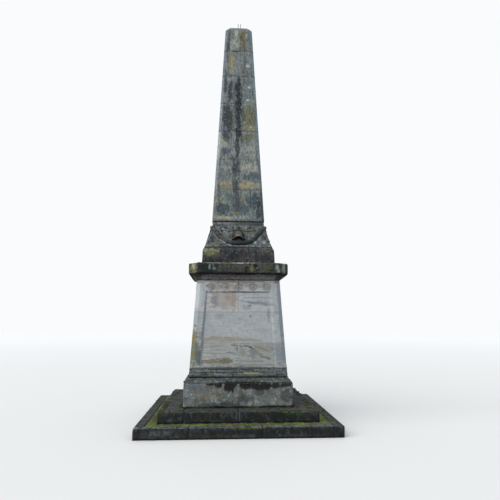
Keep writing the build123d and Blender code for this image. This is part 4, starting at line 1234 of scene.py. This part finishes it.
# %% [markdown]
# ## Moss
# Moss fills the sunk strip between the kerb and the upper step. Hair would be truer close by, but
# from here it is a bumpy mat, so a grid is laid on the fill, lifted by noise, and closed
# underneath. The four strips are one turned round the axis.

# %% Moss
FILL_TOP = top_of("lower_step_fill")
STRIP_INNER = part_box("upper_step_front")[1].x
STRIP_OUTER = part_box("lower_step_fill")[1].x
STRIP_CUTS = {"x_segments": 150, "y_segments": 9}
MAT_RISE = 0.022            # height of the mat where its lumps add up to 1
MAT_EDGE = 0.001            # height of its edge and of its lowest places
MAT_LEVEL = 0.35            # share of the rise that the mat has between its lumps
MAT_LUMPS = ((14, 0.5), (41, 0.4))      # lumps to the metre, and how much they add
SUNK = 0.003                # how far its underside lies in the fill


def moss_material(name, main, young, dried, bright):
    """Moss: a soft yellow-green mat, brown where it has dried, quite rough."""
    material, tree, colour = sandstone(name, main, young, dried, shift=6.0, rough=0.97)
    colour = speckled(tree, colour, bright, 30, 0.52, 0.66, 0.7, shift=2, detail=6)
    colour = speckled(tree, colour, "4B4031", 120, 0.5, 0.6, 0.8, shift=5, detail=5)
    # Painted shade in the hollows of the mat.
    colour = coat(tree, colour, "1E2410", crevice_shade_and_dirt(tree, 25), 0.8)
    tree.links.new(colour, tree.nodes["Principled BSDF"].inputs["Base Color"])
    return material


def turned_to(quarter, form):
    """The form, made for the front, turned by so many quarters round the axis."""
    turn = Matrix.Rotation(quarter * pi / 2, 3, "Z")
    bmesh.ops.rotate(form, cent=(0, 0, 0), matrix=turn, verts=form.verts)
    return form


def moss_strip():
    """The mat of the front: a lumpy sheet with a flat underside in the fill."""
    form = bmesh.new()
    bmesh.ops.create_grid(form, size=0.5, **STRIP_CUTS)
    bmesh.ops.scale(form, vec=(2 * STRIP_OUTER, STRIP_OUTER - STRIP_INNER, 1), verts=form.verts)
    middle = (0, -(STRIP_OUTER + STRIP_INNER) / 2, FILL_TOP)
    bmesh.ops.translate(form, vec=middle, verts=form.verts)
    rim = {vert for vert in form.verts if vert.is_boundary}
    for vert in form.verts:
        height = MAT_RISE * (MAT_LEVEL + ruffle(vert.co, MAT_LUMPS))
        vert.co.z += MAT_EDGE if vert in rim else max(MAT_EDGE, height)
    skirt = bmesh.ops.extrude_face_region(form, geom=form.faces[:])
    for vert in skirt["geom"]:
        if isinstance(vert, bmesh.types.BMVert):
            vert.co.z = FILL_TOP - SUNK
    bmesh.ops.recalc_face_normals(form, faces=form.faces)
    return form


def add_moss(name, form, material):
    """Turn a finished form of moss into a piece that rides with the stones."""
    piece = as_object(name, form, material)
    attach(piece, "root")
    print(name, len(piece.data.polygons), "faces")


mat_moss = moss_material("cushion_moss", "38421A", "5C6A1E", "443A26", "7F8E2A")
for quarter, side in enumerate(SIDES):
    add_moss(f"moss_strip_{side}", turned_to(quarter, moss_strip()), mat_moss)

# %% [markdown]
# Elsewhere moss grows in small cushions: along the foot of the plinth, on the treads near their
# arrises, on the ledges of the base course and on the cornice. Each is a flattened ball, pushed out
# of round by noise, its lower half sunk in the stone. Scattering them evenly would look sown, so
# they are strewn by chance along lines where moss finds water.

# %% Moss cushions
ON_KERB = top_of("kerb_front") - 0.001
ON_STEP = top_of("upper_step_front") - 0.001
BY_PLINTH = foot_of("plinth_front")
ON_ARRIS = SPLAY_FOOT - 0.002
ON_BASE = foot_of("base_course_left") + 0.002
ON_BAND = foot_of("base_course_left") + 0.075       # the ledge between its two bands
ON_CORNICE = top_of("cornice") - 0.001
BY_SOCLE = top_of("cornice") + 0.002
CUSHION_LINES = (
    # height, from and to (x, y) on the front, count, scatter, smallest and largest half width
    (ON_STEP, (-1.05, -1.11), (-0.10, -1.10), 26, 0.030, 0.008, 0.022),
    (ON_STEP, (0.20, -1.11), (1.12, -1.10), 60, 0.035, 0.010, 0.030),
    (ON_STEP, (1.00, -1.06), (1.10, -0.20), 40, 0.040, 0.008, 0.024),
    (BY_PLINTH, (-0.80, -0.86), (0.86, -0.86), 60, 0.020, 0.008, 0.024),
    (ON_KERB, (-1.36, -1.40), (1.36, -1.40), 40, 0.020, 0.006, 0.014),
    (ON_KERB, (1.38, -1.36), (1.38, -0.20), 34, 0.028, 0.008, 0.020),
    (ON_ARRIS, (-0.45, -0.826), (0.82, -0.826), 70, 0.006, 0.005, 0.013),
    (ON_BASE, (-0.74, -0.752), (0.74, -0.752), 46, 0.006, 0.005, 0.011),
    (ON_BAND, (-0.70, -0.745), (0.20, -0.745), 22, 0.005, 0.004, 0.009),
    (ON_CORNICE, (-0.70, -0.770), (-0.05, -0.770), 26, 0.012, 0.005, 0.012),
    (ON_CORNICE, (0.10, -0.770), (0.72, -0.770), 14, 0.012, 0.004, 0.010),
    (BY_SOCLE, (-0.50, -0.596), (0.50, -0.596), 22, 0.006, 0.005, 0.010),
)
FLATTENED = (1.3, 1.0, 0.5)     # a cushion's half length, width and height to its half width
CUSHION_LUMPS = ((60, 0.5),)    # lumps to the metre, and how far they push it out of round
FIRST_SEED = 11


def cushions(quarter):
    """Every cushion of one side, grown on the front along the lines above."""
    chance = Random(FIRST_SEED + quarter)
    form, ball = bmesh.new(), bmesh.new()
    bmesh.ops.create_icosphere(ball, subdivisions=2, radius=1)
    scrap = bpy.data.meshes.new("one_cushion")
    for height, start, end, count, scatter, smallest, largest in CUSHION_LINES:
        first, last = Vector((*start, height)), Vector((*end, height))
        for _ in range(count):
            along = chance.random()
            size = smallest + (largest - smallest) * chance.random() ** 2
            place = first.lerp(last, along)
            place += Vector((chance.uniform(-scatter, scatter),
                             chance.uniform(-scatter, scatter), 0))
            shape = Matrix.LocRotScale(place, None, size * Vector(FLATTENED))
            cushion = ball.copy()
            bmesh.ops.transform(cushion, matrix=shape, verts=cushion.verts)
            seed = Vector((along, 0, 0))
            for vert in cushion.verts:
                vert.co += (vert.co - place) * ruffle(vert.co, CUSHION_LUMPS, seed)
            cushion.to_mesh(scrap)
            cushion.free()
            form.from_mesh(scrap)
    ball.free()
    bpy.data.meshes.remove(scrap)
    return form


dark_moss = moss_material("dark_cushion_moss", "1F2612", "323C16", "24201A", "4C5820")
for quarter, side in enumerate(SIDES):
    grown = turned_to(quarter, cushions(quarter))
    add_moss(f"moss_cushions_{side}", grown, dark_moss)

# %% [markdown]
# ## Studio
# A plain pale floor and an even overcast sky. The camera sees both nearly white, but to the light
# they are a grey yard and a soft sky, so that the undersides stay as dark as they are outdoors.
# One sun behind a veil of cloud, so wide that its shadows have no edges, stands to the left and
# gives the sides their different values.

# %% Floor
FLOOR_HALF = 60
NEAR_FLOOR, FAR_FLOOR = 4, 40       # between these the floor pales towards the horizon

floor_finish, floor_tree, floor_shader = plain_material("plain_pale_floor", rough=0.9)
far = node(floor_tree, "VectorMath", {"operation": "LENGTH"},
           {0: node(floor_tree, "TexCoord", out=OBJECT)}, out=1)
pale_floor = coat(floor_tree, "E0E0DF", "EBECED", between(floor_tree, far, NEAR_FLOOR, FAR_FLOOR))
seen_floor = node(floor_tree, "Mix", {"data_type": "RGBA", BELOW: paint("7A7873")},
                  {0: node(floor_tree, "LightPath", out=0), ABOVE: pale_floor}, out=MIXED)
floor_tree.links.new(seen_floor, floor_shader.inputs["Base Color"])
floor_form = bmesh.new()
bmesh.ops.create_grid(floor_form, x_segments=1, y_segments=1, size=FLOOR_HALF)
floor = as_object("studio_floor", floor_form, floor_finish)
print("floor", floor_finish.name)

# %% Sky and lamp
SKY_STRENGTH = 0.86
SKY_LIGHT = (0.93, 0.965, 1.0, 1.0)         # linear, as the stone sees it
SKY_SEEN = (0.955, 0.965, 0.975, 1.0)       # linear, as the camera sees it
SUN_STRENGTH = 2.3
SUN_WIDTH = radians(70)
SUN_LIGHT = (1.0, 0.99, 0.975)
SUN_FROM = Vector((-0.74, -0.55, 0.48))

world = bpy.data.worlds.new("overcast_sky")
bpy.context.scene.world = world
world.use_nodes = True
sky = world.node_tree
lit_sky = sky.nodes["Background"]
lit_sky.inputs["Color"].default_value = SKY_LIGHT
lit_sky.inputs["Strength"].default_value = SKY_STRENGTH
seen_sky = node(sky, "Background", {"Color": SKY_SEEN, "Strength": 1.0})
by_ray = node(sky, "MixShader", {}, {
    0: node(sky, "LightPath", out=0), 1: lit_sky.outputs[0], 2: seen_sky})
sky.links.new(by_ray, sky.nodes["World Output"].inputs["Surface"])

lamp_data = bpy.data.lights.new("veiled_sun", "SUN")
lamp_data.energy = SUN_STRENGTH
lamp_data.angle = SUN_WIDTH
lamp_data.color = SUN_LIGHT
lamp = bpy.data.objects.new("veiled_sun", lamp_data)
lamp.rotation_euler = (-SUN_FROM).to_track_quat("-Z", "Y").to_euler()
bpy.context.scene.collection.objects.link(lamp)
print("sky", SKY_STRENGTH, "sun", SUN_STRENGTH)
